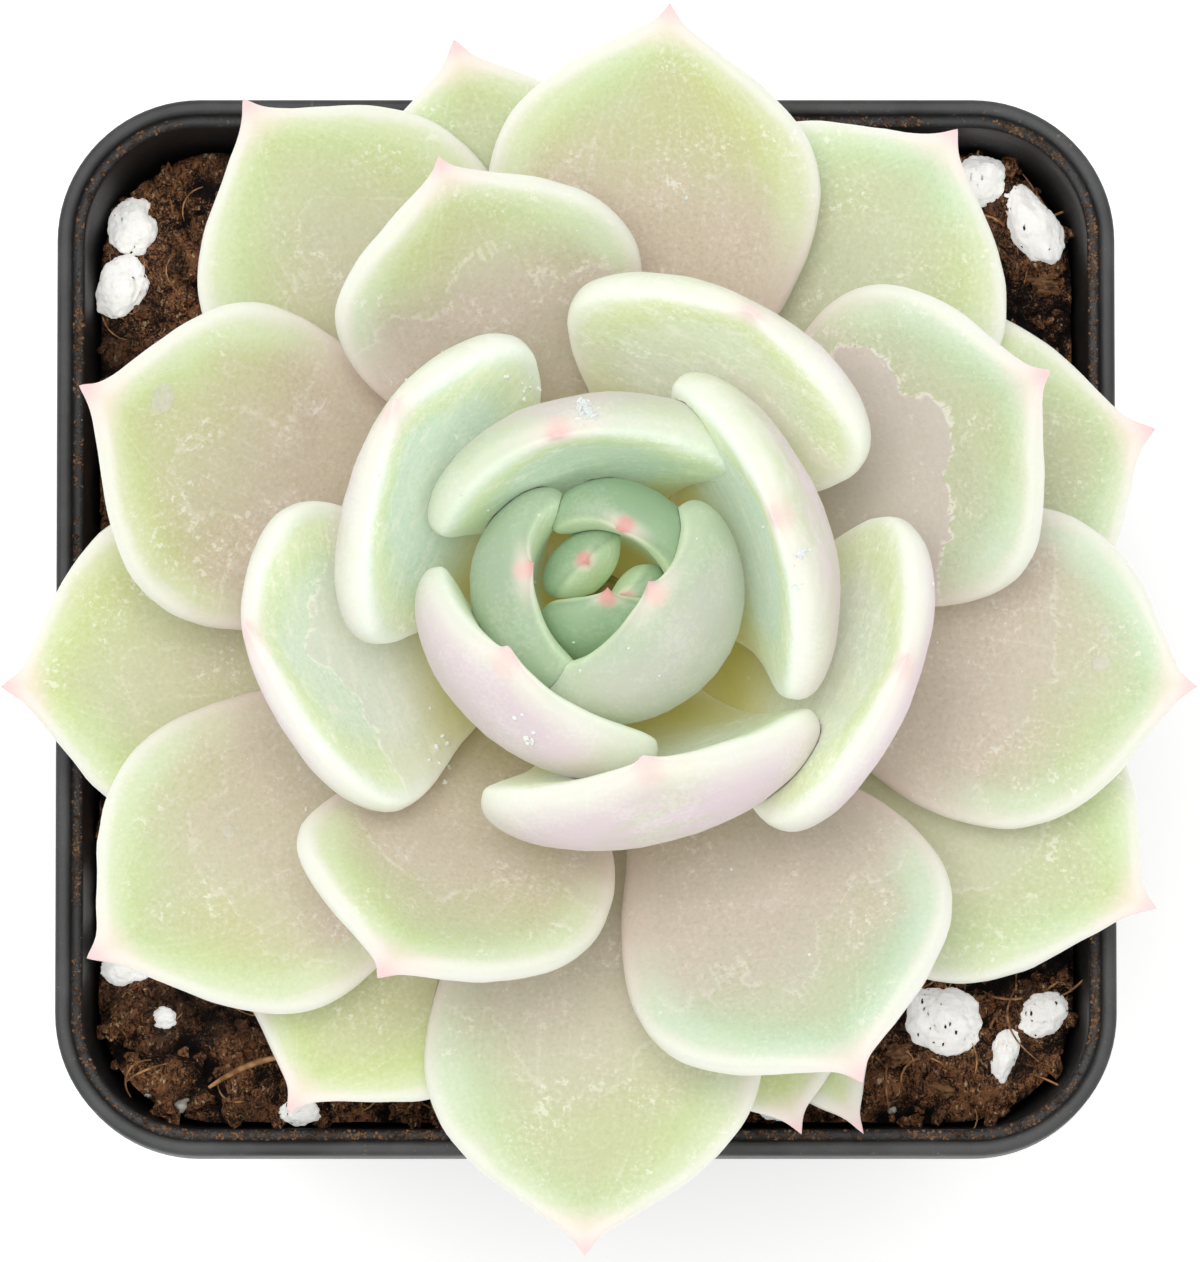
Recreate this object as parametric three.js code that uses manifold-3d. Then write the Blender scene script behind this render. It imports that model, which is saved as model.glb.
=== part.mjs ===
// A lola echeveria in a small square nursery pot, in millimetres, +Z up.
// The origin is the centre of the pot's underside, and +Y is the top of the photograph.
//
// The rosette is built leaf by leaf, from the bud outwards. Each leaf stands one golden angle round the stem
// from the last, a little lower and a little older. Its midrib is one arc from the stem to its tip, and what
// would run into a younger leaf is cut back, as leaves press each other flat where they grow.
import * as THREE from "three";
import { mergeVertices } from "three/addons/utils/BufferGeometryUtils.js";
import Module from "manifold-3d";

const wasm = await Module();
wasm.setup();

// Driving dimensions
const CLEARANCE = 0.3; // between pieces that touch on the real plant

const POT_WIDTH = 64; // across the lip
const POT_HEIGHT = 58;
const POT_CORNER = 8.6; // radius of the lip's outer corners
const POT_BASE = 50; // width of the underside
const POT_WALL = 0.75;
const LIP_PROUD = 0.9; // how far the lip stands out from the wall, and the width of its top
const LIP_SKIRT = 5; // how far the lip hangs down outside
const LIP_STEP = 0.6; // depth of the ledge inside the lip, where soil dust lies
const LIP_ROUND = 0.35; // of its edges
const FLOOR_THICKNESS = 1.4;
const FOOT_BEVEL = 0.8; // of the underside's edge
const DRAIN_RADIUS = 3.2;
const DRAIN_OFFSET = 14; // of each drain hole from the centre, along X and Y
const POT_CORNER_STEPS = 6;

const SOIL_LEVEL = 50;
const CROWN_X = 1.3; // the stem's axis
const CROWN_Y = 0.9;
const LOWEST_LEAF = 54.4; // height of the oldest leaf on the stem
const HIGHEST_LEAF = 69;
const STEM_FOOT = 36;
const STEM_SIDES = 10;
const ROOT_COUNT = 5;
const ROOT_SIDES = 5;
const ROOT_REACH = 15; // from the stem's axis
const ROOT_DEPTH = 22; // below the stem's foot

// The stem's radius at each height.
const STEM_PROFILE = [
  [STEM_FOOT, 2.2],
  [46, 3.4],
  [54, 4.1],
  [60, 3.5],
  [66, 2.1],
  [69, 0.9],
  [70.5, 0.3],
];

// The leaves, from the youngest in the bud to the oldest on the soil. Each row holds what the photograph
// shows of that leaf, or what its neighbours leave room for: its azimuth in degrees, how far its tip reaches
// from the stem's axis, the height of its tip, its width, the bend of its midrib in degrees, and its cup, the
// angle in degrees that each side turns up. Lean moves its middle sideways and swing its tip, skew sets its
// two shoulders apart, spur is how far its point turns outwards at the end of the arc, plump thickens it,
// face is the share of its thickness on its upper side, and drop starts it lower on the stem.
const LEAVES = [
  {
    name: "bud_leaf_1", azimuth: -35, reach: 0.9, tip: 76.9, width: 5.8, bend: 60,
    cup: 30, plump: 2.8, face: 0.55,
  },
  {
    name: "bud_leaf_2", azimuth: 133, reach: 1.7, tip: 78, width: 5.5, bend: 50,
    cup: 35, plump: 2.9, face: 0.62,
  },
  {
    name: "bud_leaf_3", azimuth: -90, reach: 0.2, tip: 78.6, width: 8, bend: 90,
    cup: 45, plump: 1.7, face: 0.5,
  },
  {
    name: "bud_leaf_4", azimuth: 62, reach: 2.9, tip: 79.5, width: 11, bend: 75,
    cup: 65, swing: -0.9, plump: 1.35,
  },
  {
    name: "inner_leaf_1", azimuth: -175, reach: 4.2, tip: 80.5, width: 14, bend: 85,
    cup: 72, swing: 1.4, plump: 1.2,
  },
  {
    name: "inner_leaf_2", azimuth: -38, reach: 1.9, tip: 81.5, width: 17, bend: 95,
    cup: 72, swing: -1.4, plump: 1.15,
  },
  { name: "inner_leaf_3", azimuth: 103, reach: 8.8, tip: 82.5, width: 20, bend: 65, cup: 45, swing: -1.1 },
  { name: "inner_leaf_4", azimuth: -129, reach: 6.8, tip: 82.5, width: 18.5, bend: 98, cup: 45, swing: 2 },
  { name: "upright_leaf_1", azimuth: 20, reach: 10.2, tip: 83.5, width: 21, bend: 80, cup: 32 },
  {
    name: "upright_leaf_2", azimuth: 151, reach: 16, tip: 83, width: 20.5, bend: 55,
    cup: 30, swing: 3, spur: 0.6,
  },
  { name: "upright_leaf_3", azimuth: -76, reach: 10.6, tip: 82, width: 21, bend: 116, cup: 28, swing: 0.5 },
  { name: "upright_leaf_4", azimuth: 62, reach: 17.8, tip: 82, width: 20, bend: 68, cup: 22 },
  { name: "upright_leaf_5", azimuth: -165, reach: 21.3, tip: 80, width: 19.5, bend: 58, cup: 25, swing: 3.2 },
  { name: "upright_leaf_6", azimuth: -20.5, reach: 18, tip: 81.5, width: 20, bend: 70, cup: 20, swing: -1.7 },
  {
    name: "middle_leaf_1", azimuth: 113, reach: 27.3, tip: 78, width: 18.6, bend: 45,
    cup: 14, lean: 0.4, skew: -5, swing: 0.7, spur: 0.9,
  },
  {
    name: "middle_leaf_2", azimuth: -118.5, reach: 26.9, tip: 78, width: 18.6, bend: 55,
    cup: 14, skew: 14, swing: 0.8, spur: 1.2,
  },
  { name: "middle_leaf_3", azimuth: 26, reach: 29.1, tip: 77, width: 20, bend: 55, cup: 12, spur: 1 },
  {
    name: "middle_leaf_4", azimuth: 160.5, reach: 33.5, tip: 75, width: 19.4, bend: 35,
    cup: 12, swing: 0.9, spur: 0.5,
  },
  {
    name: "middle_leaf_5", azimuth: -62, reach: 33, tip: 76, width: 20.4, bend: 50,
    cup: 12, swing: 0.5, spur: 1.1,
  },
  { name: "outer_leaf_1", azimuth: 83.5, reach: 35.4, tip: 72, width: 20, bend: 25, cup: 10, swing: -0.3 },
  { name: "outer_leaf_2", azimuth: -143.5, reach: 37.7, tip: 70, width: 19.5, bend: 25, cup: 10, swing: 1 },
  { name: "outer_leaf_3", azimuth: -9.5, reach: 35.5, tip: 70, width: 19.4, bend: 25, cup: 10, swing: -0.4 },
  {
    name: "outer_leaf_4", azimuth: 126.5, reach: 37.1, tip: 67.5, width: 19.5, bend: 18,
    cup: 10, swing: 0.3,
  },
  { name: "outer_leaf_5", azimuth: -92, reach: 39.3, tip: 67, width: 20.2, bend: 18, cup: 10 },
  { name: "outer_leaf_6", azimuth: 53.5, reach: 35.3, tip: 66, width: 21.5, bend: 15, cup: 10, lean: -0.8 },
  {
    name: "outer_leaf_7", azimuth: -171, reach: 36.6, tip: 65.5, width: 20.2, bend: 15,
    cup: 10, swing: 0.6,
  },
  {
    name: "outer_leaf_8", azimuth: -31, reach: 37.7, tip: 64.5, width: 19.6, bend: 12,
    cup: 10, swing: -1.2,
  },
  { name: "old_leaf_1", azimuth: 105.5, reach: 35.2, tip: 64, width: 18.5, bend: 10, cup: 10, swing: 0.2 },
  { name: "old_leaf_2", azimuth: -121.5, reach: 36, tip: 63.5, width: 18.6, bend: 10, cup: 10, swing: 0.4 },
  {
    name: "old_leaf_3", azimuth: 17, reach: 34.5, tip: 63, width: 20.5, bend: 10,
    cup: 10, lean: -1.2, swing: -0.5,
  },
  { name: "old_leaf_4", azimuth: -70.5, reach: 33.8, tip: 60.5, width: 15, bend: 6, cup: 10, swing: -0.4 },
  {
    name: "old_leaf_5", azimuth: -65, reach: 35.2, tip: 59, width: 9, bend: 6,
    cup: 10, drop: 2.4, swing: -0.6,
  },
];

// Shape of every leaf, from its foot at 0 to its tip at 1: its half width and its thickness, as shares of the
// greatest.
const OUTLINE = [
  [0, 0.28],
  [0.15, 0.36],
  [0.33, 0.62],
  [0.5, 0.9],
  [0.65, 1],
  [0.76, 0.91],
  [0.85, 0.64],
  [0.91, 0.34],
  [0.955, 0.115],
  [1, 0],
];
const THICKNESS = [
  [0, 0.45],
  [0.15, 0.6],
  [0.35, 0.9],
  [0.55, 1],
  [0.75, 0.86],
  [0.88, 0.55],
  [0.955, 0.22],
  [1, 0],
];
const THICKEST = 0.22; // of the leaf's width
const UPPER_SHARE = 0.36; // of the thickness, above the midrib's line
const EDGE_POWER = 0.8; // under 1 makes a leaf's edges blunter than an ellipse's
const SPUR_START = 0.86; // along a leaf
const STATIONS = [0, 0.12, 0.26, 0.4, 0.53, 0.65, 0.76, 0.85, 0.92, 0.962];
const LEAF_SIDES = 12;

// Perlite in the soil's surface: place, length, breadth, height, and turn in degrees.
const PERLITE = [
  { x: -27.7, y: 25.2, length: 3.8, breadth: 3.1, height: 2.8, turn: 80 },
  { x: -28.3, y: 21.3, length: 4.1, breadth: 3, height: 2.8, turn: 70 },
  { x: 24, y: 27.8, length: 3.7, breadth: 3.2, height: 2.8, turn: 30 },
  { x: 27.3, y: 25.1, length: 5.4, breadth: 3.1, height: 3, turn: 118 },
  { x: -28.3, y: -16.2, length: 4.6, breadth: 2.8, height: 2.8, turn: 90 },
  { x: -27.9, y: -20.3, length: 3.3, breadth: 2.1, height: 2, turn: 10 },
  { x: -25.7, y: -23.3, length: 1.6, breadth: 1.4, height: 1.4, turn: 0 },
  { x: -17.4, y: -29.1, length: 2.6, breadth: 1.6, height: 1.6, turn: 0 },
  { x: 21.7, y: -23.4, length: 5.1, breadth: 4.2, height: 3.6, turn: -25 },
  { x: 25.4, y: -25.6, length: 3.4, breadth: 1.7, height: 2.2, turn: 75 },
  { x: 27.8, y: -23.1, length: 3.3, breadth: 2.7, height: 2.4, turn: 15 },
  { x: 11.5, y: -28.8, length: 2.6, breadth: 1.6, height: 1.6, turn: 0 },
];
const BARK = [
  { x: 27.9, y: 21.5, length: 2.4, breadth: 1.5, height: 1.3, turn: -20 },
  { x: 18.9, y: -25.6, length: 2.4, breadth: 1.7, height: 1.2, turn: 40 },
  { x: 21.6, y: -27.6, length: 2, breadth: 1.2, height: 1, turn: -15 },
];
const GRAIN_RISE = 0.15; // how far a grain's middle stands above the soil, of its height
const SMALL_GRAIN = 2.7; // up to this length, a grain has fewer faces

// Clods raised on the soil, as [x, y, height, radius].
const CLODS = [
  [-27.8, -23.6, 1.2, 1.6],
  [-26.2, -26.6, 1.5, 2],
  [-20.6, -27.8, 1, 1.5],
  [-22.5, -24.5, 0.9, 1.6],
  [-24.5, 22.5, 1, 1.8],
  [-21.5, 27.5, 0.8, 1.6],
  [24.5, 23.5, 0.9, 1.8],
  [17.5, -27.5, 0.8, 1.5],
  [25.8, -20.5, 0.8, 1.6],
];
const SOIL_CORNER_STEPS = 4;
const SOIL_SIDE_STEPS = 4;
const SOIL_RINGS = [1, 0.95, 0.89, 0.82, 0.7, 0.4]; // shares of the soil's width

const radians = THREE.MathUtils.degToRad;
const circle = (sides) => Array.from({ length: sides }, (_, k) => (2 * Math.PI * k) / sides);

// The value at u of a smooth curve through rows of [u, value].
function along(rows, u) {
  const next = rows.findIndex((row) => row[0] >= u);
  const i = next < 0 ? rows.length - 1 : Math.max(next, 1);
  const slope = (k) => {
    const [u0, v0] = rows[Math.max(k - 1, 0)];
    const [u1, v1] = rows[Math.min(k + 1, rows.length - 1)];
    return (v1 - v0) / (u1 - u0);
  };
  const [u0, v0] = rows[i - 1];
  const [u1, v1] = rows[i];
  const t = (u - u0) / (u1 - u0);
  const blend = t * t * (3 - 2 * t);
  const swell = (u1 - u0) * t * (1 - t) * (slope(i - 1) * (1 - t) - slope(i) * t);
  return v0 * (1 - blend) + v1 * blend + swell;
}

// A closed skin from rings of points that run anticlockwise seen from the last ring, and a point at each end.
function loft(rings, start, end) {
  const size = rings[0].length;
  const points = [start, ...rings.flat(), end];
  const at = (ring, k) => 1 + ring * size + (k % size);
  const faces = [];
  for (let k = 0; k < size; k++) {
    faces.push(0, at(0, k + 1), at(0, k));
    for (let ring = 0; ring + 1 < rings.length; ring++) {
      faces.push(at(ring, k), at(ring, k + 1), at(ring + 1, k + 1));
      faces.push(at(ring, k), at(ring + 1, k + 1), at(ring + 1, k));
    }
    faces.push(points.length - 1, at(rings.length - 1, k), at(rings.length - 1, k + 1));
  }
  const geometry = new THREE.BufferGeometry();
  geometry.setAttribute("position", new THREE.Float32BufferAttribute(points.flat(), 3));
  geometry.setIndex(faces);
  return geometry;
}

// A geometry as a solid that can be joined and cut, and back again.
function solid(geometry) {
  const bare = geometry.clone();
  bare.deleteAttribute("normal");
  bare.deleteAttribute("uv");
  const merged = mergeVertices(bare);
  return new wasm.Manifold(
    new wasm.Mesh({
      numProp: 3,
      vertProperties: Float32Array.from(merged.attributes.position.array),
      triVerts: Uint32Array.from(merged.index.array),
    }),
  );
}

function geometryOf(body) {
  const mesh = body.getMesh();
  const geometry = new THREE.BufferGeometry();
  geometry.setAttribute("position", new THREE.BufferAttribute(mesh.vertProperties, 3));
  geometry.setIndex(new THREE.BufferAttribute(mesh.triVerts, 1));
  return geometry;
}

const largest = (body) => body.decompose().reduce((a, b) => (a.volume() > b.volume() ? a : b));

const mean = (points) => [0, 1, 2].map((i) => points.reduce((sum, p) => sum + p[i], 0) / points.length);

// A square of a half width with rounded corners, at a height, anticlockwise from above.
function roundedSquare(half, corner, z, cornerSteps, sideSteps = 1) {
  const ring = [];
  const flat = half - corner;
  for (let side = 0; side < 4; side++) {
    const turn = (side * Math.PI) / 2;
    const [c, s] = [Math.cos(turn), Math.sin(turn)];
    const place = (x, y) => [x * c - y * s, x * s + y * c, z];
    for (let k = 1; k < sideSteps; k++) {
      ring.push(place(half, -flat + (2 * flat * k) / sideSteps));
    }
    for (let k = 0; k <= cornerSteps; k++) {
      const angle = (k * Math.PI) / 2 / cornerSteps;
      ring.push(place(flat + corner * Math.cos(angle), flat + corner * Math.sin(angle)));
    }
  }
  return ring;
}

// The pot
// The half width and the corner radius of its wall at a height under the lip, moved inwards by inset.
function wall(z, inset = 0) {
  const neck = POT_WIDTH / 2 - LIP_PROUD;
  const half = POT_BASE / 2 + ((neck - POT_BASE / 2) * z) / (POT_HEIGHT - LIP_SKIRT);
  return { half: half - inset, corner: (POT_CORNER - LIP_PROUD - inset) * (half / neck) };
}

function potSolid() {
  const lip = (inset) => ({ half: POT_WIDTH / 2 - inset, corner: POT_CORNER - inset });
  const skirt = POT_HEIGHT - LIP_SKIRT;
  const ledge = POT_HEIGHT - LIP_STEP;
  const rings = [
    [wall(0, FOOT_BEVEL), 0],
    [wall(FOOT_BEVEL), FOOT_BEVEL],
    [wall(skirt), skirt],
    [lip(LIP_ROUND), skirt],
    [lip(0), skirt + LIP_ROUND],
    [lip(0), POT_HEIGHT - LIP_ROUND],
    [lip(LIP_ROUND), POT_HEIGHT],
    [lip(LIP_PROUD), POT_HEIGHT],
    [lip(LIP_PROUD), ledge],
    [wall(skirt, POT_WALL), ledge],
    [wall(skirt, POT_WALL), skirt],
    [wall(FLOOR_THICKNESS, POT_WALL), FLOOR_THICKNESS],
  ].map(([{ half, corner }, z]) => roundedSquare(half, corner, z, POT_CORNER_STEPS));
  let pot = solid(loft(rings, [0, 0, 0], [0, 0, FLOOR_THICKNESS]));
  for (const angle of circle(4)) {
    const drain = new THREE.CylinderGeometry(DRAIN_RADIUS, DRAIN_RADIUS, 4 * FLOOR_THICKNESS, 20);
    const reach = DRAIN_OFFSET * Math.SQRT2;
    drain.rotateX(Math.PI / 2);
    drain.translate(reach * Math.cos(angle + Math.PI / 4), reach * Math.sin(angle + Math.PI / 4), 0);
    pot = pot.subtract(solid(drain));
  }
  return pot;
}

// The stem, with its main roots
function stemSolid(grow = 0) {
  const heights = STEM_PROFILE.map((row) => row[0]);
  const rings = heights.map((z) => {
    const radius = along(STEM_PROFILE, z) + grow;
    return circle(STEM_SIDES).map((a) => [CROWN_X + radius * Math.cos(a), CROWN_Y + radius * Math.sin(a), z]);
  });
  const foot = [CROWN_X, CROWN_Y, STEM_FOOT - 1 - grow];
  const top = [CROWN_X, CROWN_Y, heights.at(-1) + 0.3 + grow];
  return circle(ROOT_COUNT).reduce(
    (stem, azimuth) => stem.add(rootSolid(azimuth, grow)),
    solid(loft(rings, foot, top)),
  );
}

// A root runs out and down from the stem, and thins towards its end.
function rootSolid(azimuth, grow) {
  const start = STEM_FOOT + 3;
  const spine = (u) => ({ r: ROOT_REACH * Math.sin(1.4 * u), z: start - (ROOT_DEPTH + 3) * u ** 1.3 });
  const stations = [0, 0.25, 0.5, 0.75, 0.97];
  const rings = stations.map((u) => {
    const { r, z } = spine(u);
    const ahead = spine(u + 0.02);
    const slope = Math.atan2(ahead.z - z, ahead.r - r);
    const radius = 1.2 - 0.8 * u + grow;
    return circle(ROOT_SIDES).map((a) => {
      const side = radius * Math.cos(a);
      const up = radius * Math.sin(a);
      const out = r - up * Math.sin(slope);
      const x = CROWN_X + out * Math.cos(azimuth) + side * Math.sin(azimuth);
      const y = CROWN_Y + out * Math.sin(azimuth) - side * Math.cos(azimuth);
      return [x, y, z + up * Math.cos(slope)];
    });
  });
  rings.reverse();
  return solid(loft(rings, mean(rings[0]), mean(rings.at(-1))));
}

// The soil
function soilHeight(x, y) {
  const swell = 0.45 * Math.sin(0.55 * x + 1) * Math.cos(0.48 * y) + 0.25 * Math.sin(1.3 * x + 0.9 * y);
  const clods = CLODS.reduce((sum, [cx, cy, height, radius]) => {
    const away = Math.hypot(x - cx, y - cy) / radius;
    return sum + height * Math.exp(-(away ** 4));
  }, 0);
  return SOIL_LEVEL + swell + clods;
}

function soilSolid(holes) {
  const bottom = FLOOR_THICKNESS + CLEARANCE;
  const inset = POT_WALL + 1.2 * CLEARANCE;
  const outline = ({ half, corner }, z, share = 1) =>
    roundedSquare(half * share, corner * share, z, SOIL_CORNER_STEPS, SOIL_SIDE_STEPS);
  const side = [bottom, SOIL_LEVEL - 1].map((z) => outline(wall(z, inset), z));
  const top = SOIL_RINGS.map((share) =>
    outline(wall(SOIL_LEVEL, inset), 0, share).map(([x, y]) => [x, y, soilHeight(x, y)]),
  );
  const soil = solid(loft([...side, ...top], [0, 0, bottom], [0, 0, SOIL_LEVEL]));
  return largest(holes.reduce((body, hole) => body.subtract(hole), soil));
}

// A loose grain: a lumpy stone shape, half sunk in the soil
function grainSolid({ x, y, length, breadth, height, turn }, grow = 0) {
  const grain = new THREE.IcosahedronGeometry(0.5, length > SMALL_GRAIN ? 1 : 0);
  const point = grain.attributes.position;
  for (let i = 0; i < point.count; i++) {
    const p = new THREE.Vector3().fromBufferAttribute(point, i);
    const lump = 1 + 0.09 * Math.sin(7 * p.x + x) + 0.08 * Math.sin(9 * p.y + y) + 0.07 * Math.cos(8 * p.z);
    point.setXYZ(i, p.x * lump, p.y * lump, p.z * lump);
  }
  grain.scale(length + 2 * grow, breadth + 2 * grow, height + 2 * grow);
  grain.rotateZ(radians(turn));
  grain.translate(x, y, soilHeight(x, y) + GRAIN_RISE * height);
  return solid(grain);
}

// The leaves
// The midrib of a leaf: the arc from the stem to the tip, as radius, height and slope at u.
function midrib(leaf, age) {
  const z0 = HIGHEST_LEAF + (LOWEST_LEAF - HIGHEST_LEAF) * age - (leaf.drop ?? 0);
  const r0 = along(STEM_PROFILE, z0) + CLEARANCE;
  const bend = radians(leaf.bend);
  const reach = leaf.reach - (leaf.spur ?? 0) - r0;
  const radius = Math.hypot(reach, leaf.tip - z0) / 2 / Math.sin(bend / 2);
  const first = Math.atan2(leaf.tip - z0, reach) - bend / 2;
  return (u) => {
    const slope = first + bend * u;
    return {
      r: r0 + radius * (Math.sin(slope) - Math.sin(first)),
      z: z0 - radius * (Math.cos(slope) - Math.cos(first)),
      slope,
    };
  };
}

// A point of a leaf's skin at u along it and a turn round its section.
function leafPoint(leaf, spine, u, turn, grow) {
  const { r, z, slope } = spine(u);
  const half = (leaf.width / 2) * along(OUTLINE, u) + grow;
  const thick = leaf.width * THICKEST * (leaf.plump ?? 1) * along(THICKNESS, u);
  const power = (v) => Math.sign(v) * Math.abs(v) ** EDGE_POWER;
  const upper = leaf.face ?? UPPER_SHARE;
  const share = Math.sin(turn) > 0 ? upper : 1 - upper;
  const across = half * power(Math.cos(turn));
  const above = (thick * share + grow) * power(Math.sin(turn));

  const curl = radians(leaf.cup) / (leaf.width / 2);
  const bulge = Math.sin(Math.PI * u);
  const drift = (leaf.lean ?? 0) * bulge + (leaf.swing ?? 0) * u ** 6;
  const side = drift + Math.sin(curl * across) * (1 / curl - above);
  const up = (1 - Math.cos(curl * across)) / curl + above * Math.cos(curl * across);
  const ahead = across * Math.tan(radians(leaf.skew ?? 0)) * bulge;

  const point = (leaf.spur ?? 0) * (Math.max(u - SPUR_START, 0) / (1 - SPUR_START)) ** 2;
  const out = r + point - up * Math.sin(slope) + ahead * Math.cos(slope);
  const azimuth = radians(leaf.azimuth);
  return [
    CROWN_X + out * Math.cos(azimuth) + side * Math.sin(azimuth),
    CROWN_Y + out * Math.sin(azimuth) - side * Math.cos(azimuth),
    z + up * Math.cos(slope) + ahead * Math.sin(slope),
  ];
}

function leafSolid(leaf, age, grow = 0) {
  const spine = midrib(leaf, age);
  const rings = STATIONS.map((u) =>
    circle(LEAF_SIDES).map((turn) => leafPoint(leaf, spine, u, -turn, grow)),
  );
  return solid(loft(rings, mean(rings[0]), leafPoint(leaf, spine, 1, 0, 0)));
}

// Each leaf is cut back where it would run into the stem or into a younger leaf.
function rosette() {
  const taken = [stemSolid(CLEARANCE)];
  return LEAVES.map((leaf, index) => {
    const age = index / (LEAVES.length - 1);
    const body = taken.reduce((rest, cutter) => rest.subtract(cutter), leafSolid(leaf, age));
    taken.push(leafSolid(leaf, age, CLEARANCE));
    return largest(body);
  });
}

// Finishes
const finish = (color, roughness) => new THREE.MeshStandardMaterial({ color, roughness, metalness: 0 });
const LEAF_FINISHES = {
  bud: finish("#a9c490", 0.6),
  inner: finish("#b9d0aa", 0.6),
  upright: finish("#cddcb8", 0.6),
  middle: finish("#cfc9b0", 0.6),
  outer: finish("#d6deb2", 0.6),
  old: finish("#e0e7b8", 0.6),
};
const POT_FINISH = finish("#2d2e30", 0.5);
const SOIL_FINISH = finish("#4a3422", 0.95);
const STEM_FINISH = finish("#b7b58c", 0.8);
const PERLITE_FINISH = finish("#f3f3ea", 0.9);
const BARK_FINISH = finish("#6f4c30", 0.9);

const plant = new THREE.Group();

function addPiece(name, body, material) {
  const mesh = new THREE.Mesh(geometryOf(body), material);
  mesh.name = name;
  plant.add(mesh);
}

const holes = [...PERLITE, ...BARK].map((grain) => grainSolid(grain, CLEARANCE));
addPiece("pot", potSolid(), POT_FINISH);
addPiece("soil", soilSolid([stemSolid(CLEARANCE), ...holes]), SOIL_FINISH);
addPiece("stem", stemSolid(), STEM_FINISH);
PERLITE.forEach((grain, i) => addPiece(`perlite_${i + 1}`, grainSolid(grain), PERLITE_FINISH));
BARK.forEach((grain, i) => addPiece(`bark_${i + 1}`, grainSolid(grain), BARK_FINISH));
rosette().forEach((body, i) => {
  const { name } = LEAVES[i];
  addPiece(name, body, LEAF_FINISHES[name.split("_")[0]]);
});

export default plant;
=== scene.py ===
"""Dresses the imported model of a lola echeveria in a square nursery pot: one rosette of 32 thick leaves, the pot,
its peat with perlite, bark, crumbs and fibres, and the stem. Sizes are in millimetres in the tables and the
functions, and become metres where a mesh is made. The row's origin is the middle of the pot's underside."""

import math
import random

import bpy
import numpy as np
from bpy.props import FloatProperty, FloatVectorProperty, IntProperty, PointerProperty
from bpy.types import Operator, Panel, PropertyGroup
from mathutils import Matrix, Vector, noise


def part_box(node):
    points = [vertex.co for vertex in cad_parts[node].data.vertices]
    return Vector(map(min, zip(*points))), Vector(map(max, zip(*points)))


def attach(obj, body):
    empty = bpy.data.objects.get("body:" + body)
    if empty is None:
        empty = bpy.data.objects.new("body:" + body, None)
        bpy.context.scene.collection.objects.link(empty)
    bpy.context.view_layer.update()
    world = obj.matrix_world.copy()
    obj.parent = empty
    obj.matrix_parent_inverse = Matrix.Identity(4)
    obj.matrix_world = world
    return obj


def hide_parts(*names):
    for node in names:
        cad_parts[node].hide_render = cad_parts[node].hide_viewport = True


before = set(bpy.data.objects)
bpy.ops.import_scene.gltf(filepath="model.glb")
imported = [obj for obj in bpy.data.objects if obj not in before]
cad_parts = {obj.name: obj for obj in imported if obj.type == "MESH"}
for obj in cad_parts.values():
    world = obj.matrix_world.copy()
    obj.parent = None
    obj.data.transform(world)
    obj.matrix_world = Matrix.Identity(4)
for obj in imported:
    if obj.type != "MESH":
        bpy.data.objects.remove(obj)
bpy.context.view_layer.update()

bl_info = {
    "name": "Potted lola echeveria",
    "version": (1, 0, 0),
    "blender": (4, 5, 0),
    "location": "View3D > Sidebar > Echeveria",
    "description": "Leaves, pot, peat and grains of a potted rosette, built around its packed model",
    "category": "Add Mesh",
}

MM = 0.001


def cad_size(node):
    """The width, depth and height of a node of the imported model, in millimetres."""
    low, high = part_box(node)
    return [round((high[axis] - low[axis]) / MM, 3) for axis in range(3)]


# The rosette's own numbers.

CROWN = Vector((1.3, 0.9))
LOWEST_LEAF = 54.4
HIGHEST_LEAF = 69
CLEARANCE = 0.3
THICKEST = 0.22
UPPER_SHARE = 0.36
EDGE_POWER = 0.8
SPUR_START = 0.86

# Along a leaf from its foot, 0, to its tip, 1: the share of its full width, and of its full thickness.
OUTLINE = (
    (0, 0.28), (0.15, 0.36), (0.33, 0.62), (0.5, 0.9), (0.65, 1),
    (0.76, 0.91), (0.85, 0.64), (0.91, 0.34), (0.955, 0.115), (1, 0),
)
THICKNESS = ((0, 0.45), (0.15, 0.6), (0.35, 0.9), (0.55, 1), (0.75, 0.86), (0.88, 0.55), (0.955, 0.22), (1, 0))

# The stem's height and radius.
STEM_PROFILE = ((36, 2.2), (46, 3.4), (54, 4.1), (60, 3.5), (66, 2.1), (69, 0.9), (70.5, 0.3))
ROOT_COUNT = 5
ROOT_REACH = 15
ROOT_DEPTH = 22

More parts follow.
